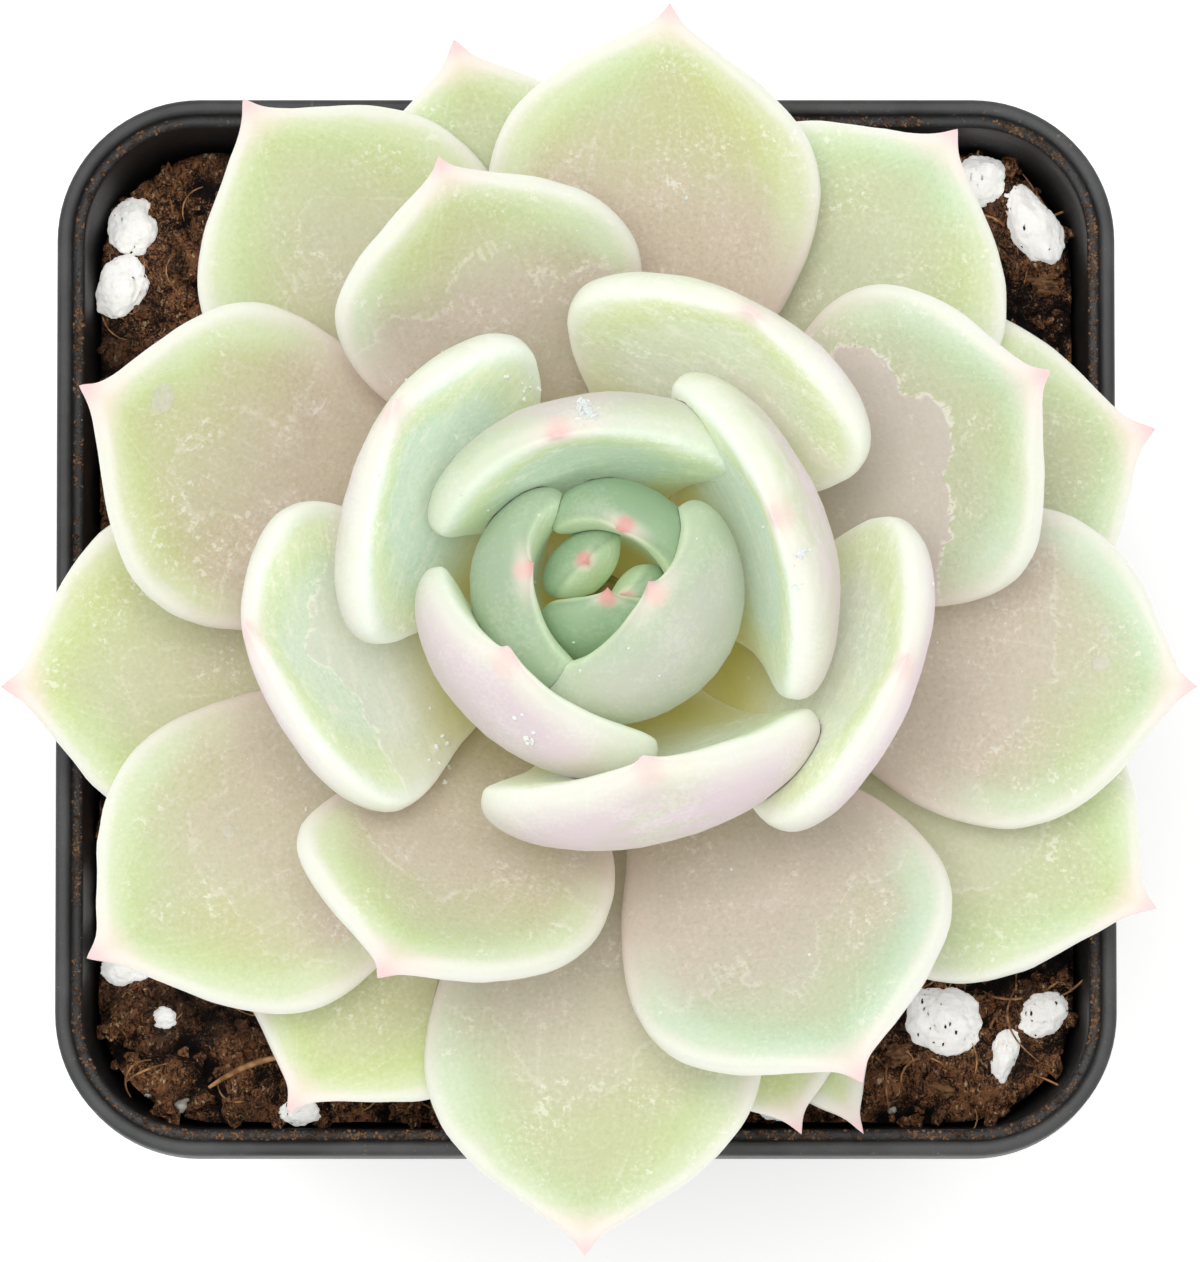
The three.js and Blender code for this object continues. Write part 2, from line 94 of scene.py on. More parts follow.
# Youngest to oldest. Each leaf's azimuth, reach from the axis, height of the tip, width, bend along it and cup
# across it. Then its looks: taupe at heart, mint against lime, scuffs. Then what only some leaves have.
LEAF_COLUMNS = ("name", "azimuth", "reach", "tip", "width", "bend", "cup", "taupe", "mint", "scuff")
LEAVES = [
    dict(zip(LEAF_COLUMNS, row[:10]), **(row[10] if len(row) > 10 else {}))
    for row in (
        ("bud_leaf_1", -35, 0.9, 76.9, 5.8, 60, 30, 0, 0.3, 0, {"plump": 2.8, "face": 0.55}),
        ("bud_leaf_2", 133, 1.7, 78, 5.5, 50, 35, 0, 0.3, 0, {"plump": 2.9, "face": 0.62}),
        ("bud_leaf_3", -90, 0.2, 78.6, 8, 90, 45, 0, 0.6, 0, {"plump": 1.7, "face": 0.5}),
        ("bud_leaf_4", 62, 2.9, 79.5, 11, 75, 65, 0, 0.5, 0, {"swing": -0.9, "plump": 1.35}),
        ("inner_leaf_1", -175, 4.2, 80.5, 14, 85, 72, 0, 0.9, 0, {"swing": 1.4, "plump": 1.2}),
        ("inner_leaf_2", -38, 1.9, 81.5, 17, 95, 72, 0, 0.4, 0.2, {"swing": -1.4, "plump": 1.15}),
        ("inner_leaf_3", 103, 8.8, 82.5, 20, 65, 45, 0, 0.8, 0, {"swing": -1.1}),
        ("inner_leaf_4", -129, 6.8, 82.5, 18.5, 98, 45, 0.1, 0.5, 0.5, {"swing": 2}),
        ("upright_leaf_1", 20, 10.2, 83.5, 21, 80, 32, 0.1, 0.8, 0.2),
        ("upright_leaf_2", 151, 16, 83, 20.5, 55, 30, 0.1, 0.9, 0.2, {"swing": 3, "spur": 0.6}),
        ("upright_leaf_3", -76, 10.6, 82, 21, 116, 28, 0.1, 0.4, 0.3, {"swing": 0.5}),
        ("upright_leaf_4", 62, 17.8, 82, 20, 68, 22, 0.3, 0.2, 0.5),
        ("upright_leaf_5", -165, 21.3, 80, 19.5, 58, 25, 0.25, 0.6, 0.7, {"swing": 3.2}),
        ("upright_leaf_6", -20.5, 18, 81.5, 20, 70, 20, 0.2, 0.3, 0.3, {"swing": -1.7}),
        ("middle_leaf_1", 113, 27.3, 78, 18.6, 45, 14, 0.65, 0.4, 0.5,
         {"lean": 0.4, "skew": -5, "swing": 0.7, "spur": 0.9}),
        ("middle_leaf_2", -118.5, 26.9, 78, 18.6, 55, 14, 0.55, 0.2, 0.4, {"skew": 14, "swing": 0.8, "spur": 1.2}),
        ("middle_leaf_3", 26, 29.1, 77, 20, 55, 12, 0.85, 0.7, 1, {"spur": 1}),
        ("middle_leaf_4", 160.5, 33.5, 75, 19.4, 35, 12, 0.7, 0.2, 0.3, {"swing": 0.9, "spur": 0.5}),
        ("middle_leaf_5", -62, 33, 76, 20.4, 50, 12, 0.5, 0.8, 0.4, {"swing": 0.5, "spur": 1.1}),
        ("outer_leaf_1", 83.5, 35.4, 72, 20, 25, 10, 0.6, 0.25, 0.2, {"swing": -0.3}),
        ("outer_leaf_2", -143.5, 37.7, 70, 19.5, 25, 10, 0.5, 0.25, 0.3, {"swing": 1}),
        ("outer_leaf_3", -9.5, 35.5, 70, 19.4, 25, 10, 0.65, 0.62, 0.4, {"swing": -0.4}),
        ("outer_leaf_4", 126.5, 37.1, 67.5, 19.5, 18, 10, 0.3, 0.1, 0.3, {"swing": 0.3}),
        ("outer_leaf_5", -92, 39.3, 67, 20.2, 18, 10, 0.4, 0.62, 0.3),
        ("outer_leaf_6", 53.5, 35.3, 66, 21.5, 15, 10, 0.2, 0.6, 0.2, {"lean": -0.8}),
        ("outer_leaf_7", -171, 36.6, 65.5, 20.2, 15, 10, 0.3, 0, 0.2, {"swing": 0.6}),
        ("outer_leaf_8", -31, 37.7, 64.5, 19.6, 12, 10, 0.2, 0.3, 0.4, {"swing": -1.2}),
        ("old_leaf_1", 105.5, 35.2, 64, 18.5, 10, 10, 0.15, 0.5, 0.1, {"swing": 0.2}),
        ("old_leaf_2", -121.5, 36, 63.5, 18.6, 10, 10, 0.2, 0, 0.2, {"swing": 0.4}),
        ("old_leaf_3", 17, 34.5, 63, 20.5, 10, 10, 0.15, 0.5, 0.1, {"lean": -1.2, "swing": -0.5}),
        ("old_leaf_4", -70.5, 33.8, 60.5, 15, 6, 10, 0.2, 0, 0.1, {"swing": -0.4}),
        ("old_leaf_5", -65, 35.2, 59, 9, 6, 10, 1, 0, 0.8, {"drop": 2.4, "swing": -0.6}),
    )
]
SLOT_OF = {
    "bud": "inner_leaf_skin",
    "inner": "inner_leaf_skin",
    "upright": "upright_leaf_skin",
    "middle": "open_leaf_skin",
    "outer": "open_leaf_skin",
    "old": "open_leaf_skin",
}

# Place of a grain on the soil, then its length, breadth, height and turn.
PERLITE = (
    (-27.7, 25.2, 3.8, 3.1, 2.8, 80),
    (-28.3, 21.3, 4.1, 3, 2.8, 70),
    (24, 27.8, 3.7, 3.2, 2.8, 30),
    (27.3, 25.1, 5.4, 3.1, 3, 118),
    (-28.3, -16.2, 4.6, 2.8, 2.8, 90),
    (-27.9, -20.3, 3.3, 2.1, 2, 10),
    (-25.7, -23.3, 1.6, 1.4, 1.4, 0),
    (-17.4, -29.1, 2.6, 1.6, 1.6, 0),
    (21.7, -23.4, 5.1, 4.2, 3.6, -25),
    (25.4, -25.6, 3.4, 1.7, 2.2, 75),
    (27.8, -23.1, 3.3, 2.7, 2.4, 15),
    (11.5, -28.8, 2.6, 1.6, 1.6, 0),
)
BARK = ((27.9, 21.5, 2.4, 1.5, 1.3, -20), (18.9, -25.6, 2.4, 1.7, 1.2, 40), (21.6, -27.6, 2, 1.2, 1, -15))

# Small pale stones on the soil, as grains, and what lies on the leaves: loose powder as place, spread and count,
# and dried drops as place, length, breadth and turn.
GRIT = ((-24.5, -28.6, 1.2, 0.9, 0.9, 20), (18.6, -28.9, 0.6, 0.5, 0.5, 0), (-26.6, -28, 0.5, 0.4, 0.4, 0))
POWDER = (
    (-0.1, 10.7, 0.7, 26), (12.5, 2.4, 0.45, 8), (12.4, 0.5, 0.3, 4), (-3.6, 12.9, 0.6, 8),
    (-8.1, -9.1, 1.4, 8), (-3.7, -7.8, 1.1, 6),
)
DROPS = ((-25.1, 12.4, 1.8, 1.6, 0), (30.7, -3, 1.3, 1, 60), (30.9, -1, 0.6, 0.6, 0), (-21.3, -12.9, 0.9, 0.8, 20))

# Clods that stand out of the soil: place, height and radius.
CLODS = (
    (-27.8, -23.6, 1.2, 1.6), (-26.2, -26.6, 1.5, 2), (-20.6, -27.8, 1, 1.5), (-22.5, -24.5, 0.9, 1.6),
    (-24.5, 22.5, 1, 1.8), (-21.5, 27.5, 0.8, 1.6), (24.5, 23.5, 0.9, 1.8), (17.5, -27.5, 0.8, 1.5),
    (25.8, -20.5, 0.8, 1.6),
)


# What a user would change.


def length(name, text, default, low=0.0):
    """A length property shown in the scene's units, its default given in millimetres."""
    return FloatProperty(name=name, description=text, default=default * MM, min=low * MM, unit="LENGTH")


def colour(name, text, red, green, blue):
    """A colour property, given as the 0 to 255 values seen on a screen."""
    return FloatVectorProperty(
        name=name, description=text, default=linear(red, green, blue), size=3, min=0, max=1, subtype="COLOR"
    )


def linear(*values):
    """Screen colour values from 0 to 255, as the linear values that shaders use."""
    shares = [value / 255 for value in values]
    return tuple(s / 12.92 if s <= 0.04045 else ((s + 0.055) / 1.055) ** 2.4 for s in shares)


class PotSizes(PropertyGroup):
    """The nursery pot's sizes."""

    width: length("Width", "Across the lip, from side to side", cad_size("pot")[0])
    height: length("Height", "From the underside to the lip's top", cad_size("pot")[2])
    corner: length("Corner", "Radius of the lip's corners, seen from above", 8.6)
    base: length("Base", "Across the underside", 50)
    wall: length("Wall", "Thickness of the side walls", 0.75)
    proud: length("Lip", "How far the lip stands out from the wall", 0.9)
    skirt: length("Skirt", "Height of the lip's outer face", 5)
    step: length("Step", "How far the inner ledge lies below the lip's top", 0.6)
    floor: length("Floor", "Thickness of the pot's floor", 1.4)
    drain_radius: length("Drain radius", "Radius of each drain hole", 3.2)
    drain_offset: length("Drain offset", "Each drain hole's distance from both middle lines", 14)
    shade: colour("Plastic", "Colour of the plastic", 33, 34, 36)


class SoilSizes(PropertyGroup):
    """The peat mix and what is loose on it."""

    level: length("Level", "Height of the soil's surface above the underside", 50)
    clod: length("Clods", "Usual width of the rounded clods", 3)
    crumbs: IntProperty(name="Crumbs", description="Loose crumbs on the soil", default=1500, min=0)
    fibres: IntProperty(name="Fibres", description="Loose root fibres on the soil", default=170, min=0)
    dust: IntProperty(name="Dust", description="Specks of soil on the lip's ledge", default=6500, min=0)
    # Painted shade: the peat runs from the crests' colour down to the gaps' colour by how low a place lies.
    shade: colour("Peat", "Colour of the soil's crests", 172, 118, 78)
    pit: colour("Gaps", "Colour between the clods", 24, 16, 12)


class LeafLooks(PropertyGroup):
    """Colours and relief of the leaves' powdery skin."""

    rim: colour("Margin", "The pale soft margin", 245, 247, 238)
    lime: colour("Lime", "Green of an older leaf's face", 205, 220, 154)
    mint: colour("Mint", "Green of a face with more powder on it", 196, 223, 194)
    taupe: colour("Taupe", "The middle of the middle leaves", 208, 198, 180)
    cool: colour("Cool", "Faces of the upright leaves, blue with powder", 200, 224, 206)
    heart: colour("Heart", "Faces of the youngest leaves", 178, 200, 160)
    back: colour("Back", "Outer side of an upright leaf", 226, 210, 216)
    tip: colour("Tip", "The pointed tip", 250, 200, 206)
    # Painted shade: the olive drawn at a leaf's foot, where leaves press together.
    painted_foot_shade: colour("Foot", "Near the foot, where leaves press together", 178, 170, 84)
    waver: length("Waver", "How uneven a leaf's surface is", 0.16)


class StageLooks(PropertyGroup):
    """Floor, light and camera."""

    distance: length("Distance", "From the camera to the plant", 800)
    elevation: FloatProperty(
        name="Elevation", description="The camera's height angle", default=math.radians(85.5), subtype="ANGLE"
    )
    lens: FloatProperty(name="Lens", description="Focal length for a 36 mm sensor", default=377.9, unit="CAMERA")
    soft_light: FloatProperty(name="Soft light", description="Power of the overhead lamp in watts", default=3.5)
    sky_light: FloatProperty(name="Sky light", description="Strength of the light from all round", default=0.63)
    floor: colour("Floor", "Colour of the floor", 253, 253, 253)


# Selecting and shaping, as by hand.


def fresh():
    """Leaves edit mode and deselects everything, so that an operator acts on the new piece alone."""
    if bpy.context.object and bpy.context.object.mode != "OBJECT":
        bpy.ops.object.mode_set(mode="OBJECT")
    bpy.ops.object.select_all(action="DESELECT")


def only(piece):
    """Makes the piece the one selected, active object."""
    fresh()
    piece.select_set(True)
    bpy.context.view_layer.objects.active = piece
    return piece


def added(name, operator, **settings):
    """The object that an add operator makes, under its name."""
    fresh()
    operator(**settings)
    piece = bpy.context.object
    piece.name = piece.data.name = name
    return piece


def pick(piece, kind, wanted):
    """In edit mode, selects the piece's faces or edges for which wanted(centre, element) is true."""
    bpy.ops.mesh.select_mode(type=kind)
    bpy.ops.mesh.select_all(action="DESELECT")
    bpy.ops.object.mode_set(mode="OBJECT")
    mesh = piece.data
    for element in mesh.polygons if kind == "FACE" else mesh.edges:
        corners = [mesh.vertices[i].co for i in element.vertices]
        element.select = wanted(sum(corners, Vector()) / len(corners) / MM, element)
    bpy.ops.object.mode_set(mode="EDIT")


def apply(piece, kind, **settings):
    """Adds a modifier with these settings to the piece and applies it."""
    only(piece)
    modifier = piece.modifiers.new(kind.lower(), kind)
    for key, value in settings.items():
        setattr(modifier, key, value)
    bpy.ops.object.modifier_apply(modifier=modifier.name)


def settle(piece):
    """Puts the piece's place, turn and size into its mesh."""
    only(piece)
    bpy.ops.object.transform_apply(location=True, rotation=True, scale=True)
    return piece


def smooth(piece, degrees):
    """Shades the piece smooth, apart from edges sharper than this angle."""
    only(piece)
    bpy.ops.object.shade_smooth_by_angle(angle=math.radians(degrees))
    return piece


def face_out(piece):
    """Turns all faces of a closed piece outwards."""
    only(piece)
    bpy.ops.object.mode_set(mode="EDIT")
    bpy.ops.mesh.select_all(action="SELECT")
    bpy.ops.mesh.normals_make_consistent(inside=False)
    bpy.ops.object.mode_set(mode="OBJECT")
    return piece


def coordinates(piece):
    """The piece's vertices in millimetres, one row each."""
    flat = np.empty(len(piece.data.vertices) * 3)
    piece.data.vertices.foreach_get("co", flat)
    return flat.reshape(-1, 3) / MM


def place(piece, points):
    """Moves the piece's vertices to these points, in millimetres."""
    piece.data.vertices.foreach_set("co", (np.asarray(points) * MM).ravel())
    piece.data.update()


def toned(piece, values):
    """Gives the piece a tone attribute of three numbers: one set for all of it, or a set for each vertex."""
    tone = piece.data.attributes.new("tone", "FLOAT_VECTOR", "POINT")
    tone.data.foreach_set("vector", np.broadcast_to(values, (len(piece.data.vertices), 3)).ravel())


def finished(piece, material, slot, *nodes):
    """Gives the piece its material, puts it under the root body and hides the imported nodes that it stands for."""
    piece.data.materials.clear()
    piece.data.materials.append(material)
    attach(piece, "root")
    if nodes:
        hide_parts(*nodes)
    return piece


def from_faces(name, points, faces):
    """A mesh object of these points, in millimetres, and faces."""
    mesh = bpy.data.meshes.new(name)
    mesh.from_pydata([Vector(point) * MM for point in points], [], faces)
    piece = bpy.data.objects.new(name, mesh)
    bpy.context.collection.objects.link(piece)
    return piece


# Materials.


class Value:
    """A node's output in a material, so that maths on it reads as plain expressions."""

    def __init__(self, finish, socket):
        self.finish = finish
        self.socket = socket

    def maths(self, operation, first, second):
        return self.finish.node("ShaderNodeMath", {0: first, 1: second}, operation=operation)

    def __add__(self, other):
        return self.maths("ADD", self, other)

    def __sub__(self, other):
        return self.maths("SUBTRACT", self, other)

    def __rsub__(self, other):
        return self.maths("SUBTRACT", other, self)

    def __mul__(self, other):
        return self.maths("MULTIPLY", self, other)

    def __truediv__(self, other):
        return self.maths("DIVIDE", self, other)

    def __pow__(self, other):
        return self.maths("POWER", self, other)

    __radd__ = __add__
    __rmul__ = __mul__


class Finish:
    """A procedural material under construction, with its patterns measured in millimetres."""

    def __init__(self, name, **constants):
        self.material = bpy.data.materials.new(name)
        self.material.use_nodes = True
        self.tree = self.material.node_tree
        self.surface = self.tree.nodes["Principled BSDF"]
        for key, value in constants.items():
            self.surface.inputs[key.replace("_", " ")].default_value = value
        place = self.node("ShaderNodeTexCoord", output="Object")
        self.place = self.node("ShaderNodeVectorMath", {0: place, "Scale": 1 / MM}, operation="SCALE")

    def node(self, kind, inputs=None, output=0, **settings):
        """A node of this type, with its settings and the values or links of its sockets. Returns one output."""
        made = self.tree.nodes.new(kind)
        for key, value in settings.items():
            setattr(made, key, value)
        for key, value in (inputs or {}).items():
            if isinstance(value, Value):
                self.tree.links.new(value.socket, made.inputs[key])
            else:
                made.inputs[key].default_value = value
        return Value(self, made.outputs[output])

    def mix(self, first, second, share):
        """The first colour, with this share of the second."""
        colours = {6: shade(first), 7: shade(second), 0: share}
        return self.node("ShaderNodeMix", colours, output=2, data_type="RGBA", clamp_factor=True)

    def rise(self, value, low, high):
        """0 below low, 1 above high, and a smooth step between. High may be the smaller one."""
        if low > high:
            return 1 - self.rise(value, high, low)
        limits = {"Value": value, 1: low, 2: high}
        return self.node("ShaderNodeMapRange", limits, interpolation_type="SMOOTHSTEP")

    def noise(self, size, detail=2.0, rough=0.5, distortion=0.0, at=None):
        """Soft noise from 0 to 1 with features of this size."""
        settings = {"Vector": at or self.place, "Scale": 1 / size, "Detail": detail, "Roughness": rough}
        settings["Distortion"] = distortion
        return self.node("ShaderNodeTexNoise", settings)

    def cells(self, size, output="Distance", at=None):
        """Voronoi cells of this size: the distance from the nearest point, or the cell's own colour."""
        return self.node("ShaderNodeTexVoronoi", {"Vector": at or self.place, "Scale": 1 / size}, output=output)

    def stretched(self, x, y, z, at=None):
        """The place with each axis scaled, for streaks and grain that run one way."""
        return self.node("ShaderNodeVectorMath", {0: at or self.place, 1: (x, y, z)}, operation="MULTIPLY")

    def map(self, name):
        """The two values of a piece's own map."""
        both = self.node("ShaderNodeUVMap", uv_map=name)
        return both, self.part(both, "X"), self.part(both, "Y")

    def part(self, vector, axis):
        return self.node("ShaderNodeSeparateXYZ", {0: vector}, output=axis)

    def bump(self, height, depth, normal=None):
        """Relief of this depth in millimetres where height goes from 0 to 1."""
        inputs = {"Height": height, "Distance": depth * MM, "Strength": 1.0}
        if normal:
            inputs["Normal"] = normal
        return self.node("ShaderNodeBump", inputs)

    def finish(self, **sockets):
        """Links what varies over the surface and returns the material."""
        for key, value in sockets.items():
            self.tree.links.new(value.socket, self.surface.inputs[key.replace("_", " ")])
        return self.material


def shade(value):
    """A colour as a node socket takes it: four numbers, or a link."""
    return value if isinstance(value, Value) else (*value[:3], 1.0)


# On the leaves and the perlite this glow is painted light; on the floor it keeps the floor evenly bright.
GLOW_STRENGTH = 0.4  # weak enough that no surface is drawn from as a lamp, which would slow the render


def leaf_skin(name, looks):
    """Powdery leaf skin. The maps say where on a leaf a point is, the tone attribute how the leaf is tinted, and
    the age attribute how far out it stands, from 0 in the bud to 1 on the soil."""
    f = Finish(
        name,
        Subsurface_Weight=0.18,
        Subsurface_Radius=(1.0, 0.85, 0.55),
        Subsurface_Scale=0.0014,
        Specular_IOR_Level=0.3,
        Sheen_Weight=0.1,
        Sheen_Roughness=0.5,
        Emission_Strength=GLOW_STRENGTH,
    )
    both, _, along = f.map("leaf")
    _, depth, upper = f.map("rim")
    tone = f.node("ShaderNodeAttribute", attribute_name="tone", output="Vector")
    taupe, mint, scuff = (f.part(tone, axis) for axis in "XYZ")
    age = f.node("ShaderNodeAttribute", attribute_name="age", output="Fac")
    from_blush = f.node("ShaderNodeAttribute", attribute_name="from_blush", output="Fac")
    young = f.rise(age, 0.25, 0.1)
    upright = f.rise(age, 0.45, 0.42)
    on_face = f.rise(upper, -0.25, 0.2)

    blotch = f.noise(3.8, detail=2)
    drift = f.noise(13, detail=1)
    grain = f.noise(0.28, detail=2, rough=0.65)
    streak = f.noise(1, detail=2, at=f.stretched(26, 5, 0, both))
    brushed = f.noise(1, detail=3, rough=0.6, at=f.stretched(3, 24, 0, both))
    inside = depth + (blotch - 0.5) * 1.8
    patchy = f.rise(blotch * 0.6 + streak * 0.4, 0.4, 0.62)

    # The film of a dried splash on the foot side of a face, with a thin broken crust along its edge.
    reach = depth * 0.04 - along * 2 + f.noise(7, detail=3, rough=0.55) * 1.1 + 0.6 + (grain - 0.5) * 0.03
    covered = f.rise(reach, 0, 0.02) * scuff + f.rise(reach, -0.3, 0.3) * (1 - scuff)
    film = covered * scuff * on_face
    broken = f.rise(streak, 0.4, 0.5) * f.rise(grain, 0.34, 0.48)
    crust = f.rise(reach, -0.02, 0.002) * f.rise(reach, 0.034, 0.012) * scuff * broken * on_face
    flake = f.rise(f.noise(1.1, detail=3, rough=0.7), 0.62, 0.68) * f.rise(reach, -0.25, 0.05) * scuff * on_face

    # The face of an open leaf: a green band inside the margin, strongest near the tip, and taupe at the foot.
    green = f.mix(looks.lime, looks.mint, mint + (drift - 0.5) * 1.3)
    band = f.rise(inside, 0.4, 1.4) * f.rise(inside, 6.5, 2) * f.rise(along, 0.4, 0.75)
    face = f.mix(f.mix(green, linear(204, 205, 170), 0.62), green, band)
    near_margin = f.rise(inside, 3.8, 0.6) * f.rise(along, 0.45, 0.7)
    warm = taupe * f.rise(along, 1.02, 0.5) * (1 - near_margin) * 1.3 + (drift - 0.5) * taupe * 1.3
    warm = f.rise(warm + ((streak - 0.5) * 0.4 + (grain - 0.5) * 0.5) * taupe, 0.1, 0.75)
    warm = warm * (1 - 0.8 * scuff * (1 - covered))
    face = f.mix(face, f.mix(looks.taupe, linear(204, 187, 150), (1 - mint) * 0.5), warm)
    face = f.mix(face, linear(216, 201, 183), f.rise(blotch, 0.46, 0.66) * warm * 0.65)
    face = f.mix(face, linear(200, 192, 140), f.rise(drift, 0.5, 0.3) * (1 - warm) * (1 - mint) * 0.4)

    # The face of an upright leaf: blue-green, with a lime band below its crest. The heart is greener.
    crest = f.rise(inside, 0.5, 1.8) * f.rise(inside, 5.5, 2)
    blue = f.mix(linear(214, 221, 192), looks.cool, mint * 1.1 + (blotch - 0.5) * 0.8)
    face = f.mix(face, f.mix(blue, looks.lime, crest * 0.7), upright * 0.85)
    face = f.mix(face, f.mix(looks.heart, linear(196, 214, 170), crest * 0.5), young * 0.85)
    powder = f.rise(grain, 0.5, 0.7) * (0.2 + 0.22 * patchy) + f.rise(streak, 0.52, 0.75) * 0.16
    powder = powder + f.rise(brushed, 0.5, 0.68) * upright * 0.4
    face = f.mix(face, linear(234, 236, 218), powder * (1 - 0.5 * young))
    face = f.mix(face, linear(164, 152, 112), f.rise(grain, 0.47, 0.3) * (0.13 + 0.15 * warm) * (1 - 0.8 * young))
    speck = f.rise(f.noise(0.55, detail=2, rough=0.7), 0.58, 0.66) * f.rise(blotch, 0.5, 0.64)
    face = f.mix(face, linear(243, 245, 230), speck * 0.55 * (1 - young))

    # The back: pale lavender, greener towards the crest and in the heart.
    back = f.mix(linear(222, 228, 204), linear(155, 182, 149), young)
    back = f.mix(back, looks.back, f.rise(drift + depth * 0.07 + brushed * 0.3, 0.56, 0.98) * (1 - young))
    back = f.mix(back, linear(196, 214, 160), f.rise(drift, 0.52, 0.38) * f.rise(brushed, 0.4, 0.6) * 0.4 * (1 - young))
    back = f.mix(back, linear(241, 240, 236), f.rise(grain * 0.5 + blotch * 0.5, 0.46, 0.66) * (0.4 - 0.25 * young))
    skin = f.mix(back, face, on_face)

    skin = f.mix(skin, linear(214, 209, 202), film * (0.66 - 0.5 * young))
    skin = f.mix(skin, linear(248, 246, 236), (crust + flake * 0.35) * 0.6)

    # The foot, in painted olive shade where leaves press together and in a painted glow for the light that comes only
    # through the flesh; then the margin and the tip.
    foot = f.rise(along - 0.1 * upright, 0.46, 0.14)
    skin = f.mix(skin, looks.painted_foot_shade, foot * (0.5 + 0.42 * upright))
    base_side = f.rise(along, 0.76, 0.42)
    edge = depth + (blotch - 0.5) * 0.9
    margin = f.rise(edge, 1.4, 0.3) * 0.45 + f.rise(edge, 3.6, 0.8) * 0.32
    margin = margin * (1 - 0.25 * upright - 0.6 * young) * (1 - foot * 0.6)
    rim = f.mix(looks.rim, linear(234, 214, 204), base_side * (1 - upright) * 0.85)
    skin = f.mix(skin, f.mix(rim, linear(214, 228, 198), young * 0.9), margin)
    skin = f.mix(skin, linear(251, 230, 225), f.rise(along, 0.9, 0.965) * (0.6 - 0.25 * upright + 0.2 * young))
    point = f.mix(looks.tip, linear(220, 140, 142), young)
    skin = f.mix(skin, point, f.rise(along, 0.955, 0.995) * (0.8 - 0.3 * upright + 0.4 * young))
    blush = f.mix(linear(243, 198, 190), linear(226, 138, 140), f.rise(age, 0.14, 0.08))
    dot = f.rise(from_blush * (0.65 + 0.35 * young), 0.85, 0.2)
    skin = f.mix(skin, blush, dot * upright * (0.25 + 0.4 * young))

    # Painted light: every leaf glows faintly with its own colour, the faces of the upright leaves in the rosette's
    # hollow more and the feet a little, in place of light that scatters through the flesh and between the leaves.
    glow = 0.05 + upright * (0.05 + 0.35 * on_face) * (1 - 0.15 * young) + foot * 0.15
    return f.finish(
        Base_Color=skin,
        Emission_Color=f.mix((0, 0, 0), skin, glow),
        Roughness=0.58 + 0.14 * f.rise(grain, 0.35, 0.7) - 0.14 * film,
        Normal=f.bump(grain, 0.028),
    )


def pot_plastic(looks):
    """Satin black plastic with fine scratches, greyer in patches along the lip's top."""
    f = Finish("pot_plastic", Specular_IOR_Level=0.5)
    height = f.part(f.place, "Z")
    scratch = f.noise(0.25, detail=2, at=f.stretched(0.12, 0.12, 1))
    worn = f.noise(6, detail=3, rough=0.65)
    # Greyer in patches within half a millimetre of the lip's top.
    lip_top_grey = f.rise(height, looks.height / MM - 0.45, looks.height / MM - 0.05) * (0.2 + 0.7 * f.rise(worn, 0.3, 0.7))
    tint = f.mix(looks.shade, linear(64, 66, 66), f.rise(worn, 0.5, 0.8) * 0.35 + f.rise(scratch, 0.62, 0.8) * 0.25)
    grit = f.noise(0.2, detail=3, rough=0.7)
    tint = f.mix(tint, linear(106, 110, 106), f.rise(grit, 0.56, 0.7) * f.rise(worn, 0.35, 0.6) * 0.5)
    tint = f.mix(tint, linear(70, 72, 72), lip_top_grey)
    speck = f.rise(f.noise(0.5, detail=2, rough=0.7), 0.66, 0.7)
    tint = f.mix(tint, linear(126, 108, 88), speck * f.rise(worn, 0.4, 0.6) * 0.6)
    return f.finish(
        Base_Color=tint,
        Roughness=0.38 + 0.18 * worn + 0.1 * scratch,
        Normal=f.bump(grit * 0.6 + scratch * 0.4, 0.03),
    )


def peat(name, looks):
    """Moist brown peat, with painted shade in the gaps between clods and lighter crests. The tone attribute gives how
    far a place stands above the gaps between clods.
    """
    f = Finish(name, Specular_IOR_Level=0.4)
    stand = f.part(f.node("ShaderNodeAttribute", attribute_name="tone", output="Vector"), "X")
    strands = f.noise(0.4, detail=4, rough=0.75, distortion=1.3)
    fine = f.noise(0.13, detail=2, rough=0.7)
    # Painted shade: the lower a place lies between the clods, the darker; the higher on a crest, the lighter, mixed
    # with the peat's own fine strands.
    light = f.rise(strands * 0.5 + fine * 0.5 + (stand - 0.5) * 0.24, 0.43, 0.59)
    tint = f.mix(looks.pit, looks.shade, light)
    tint = f.mix(tint, linear(222, 160, 106), f.rise(fine * 0.5 + strands * 0.5, 0.53, 0.62) * light * 0.85)
    fleck = f.part(f.cells(0.14, output="Color", at=f.stretched(1, 0.45, 1)), "X")
    tint = f.mix(tint, linear(240, 206, 164), f.rise(fleck, 0.93, 0.96) * light)
    tint = f.mix(tint, linear(11, 8, 7), f.rise(fleck, 0.28, 0.14) * 0.8)
    tint = f.mix(tint, looks.pit, f.rise(f.noise(5, detail=3), 0.52, 0.36) * 0.6)
    return f.finish(
        Base_Color=tint,
        Roughness=0.42 + 0.5 * fine,
        Normal=f.bump(strands * 0.6 + fine * 0.4, 0.5),
    )


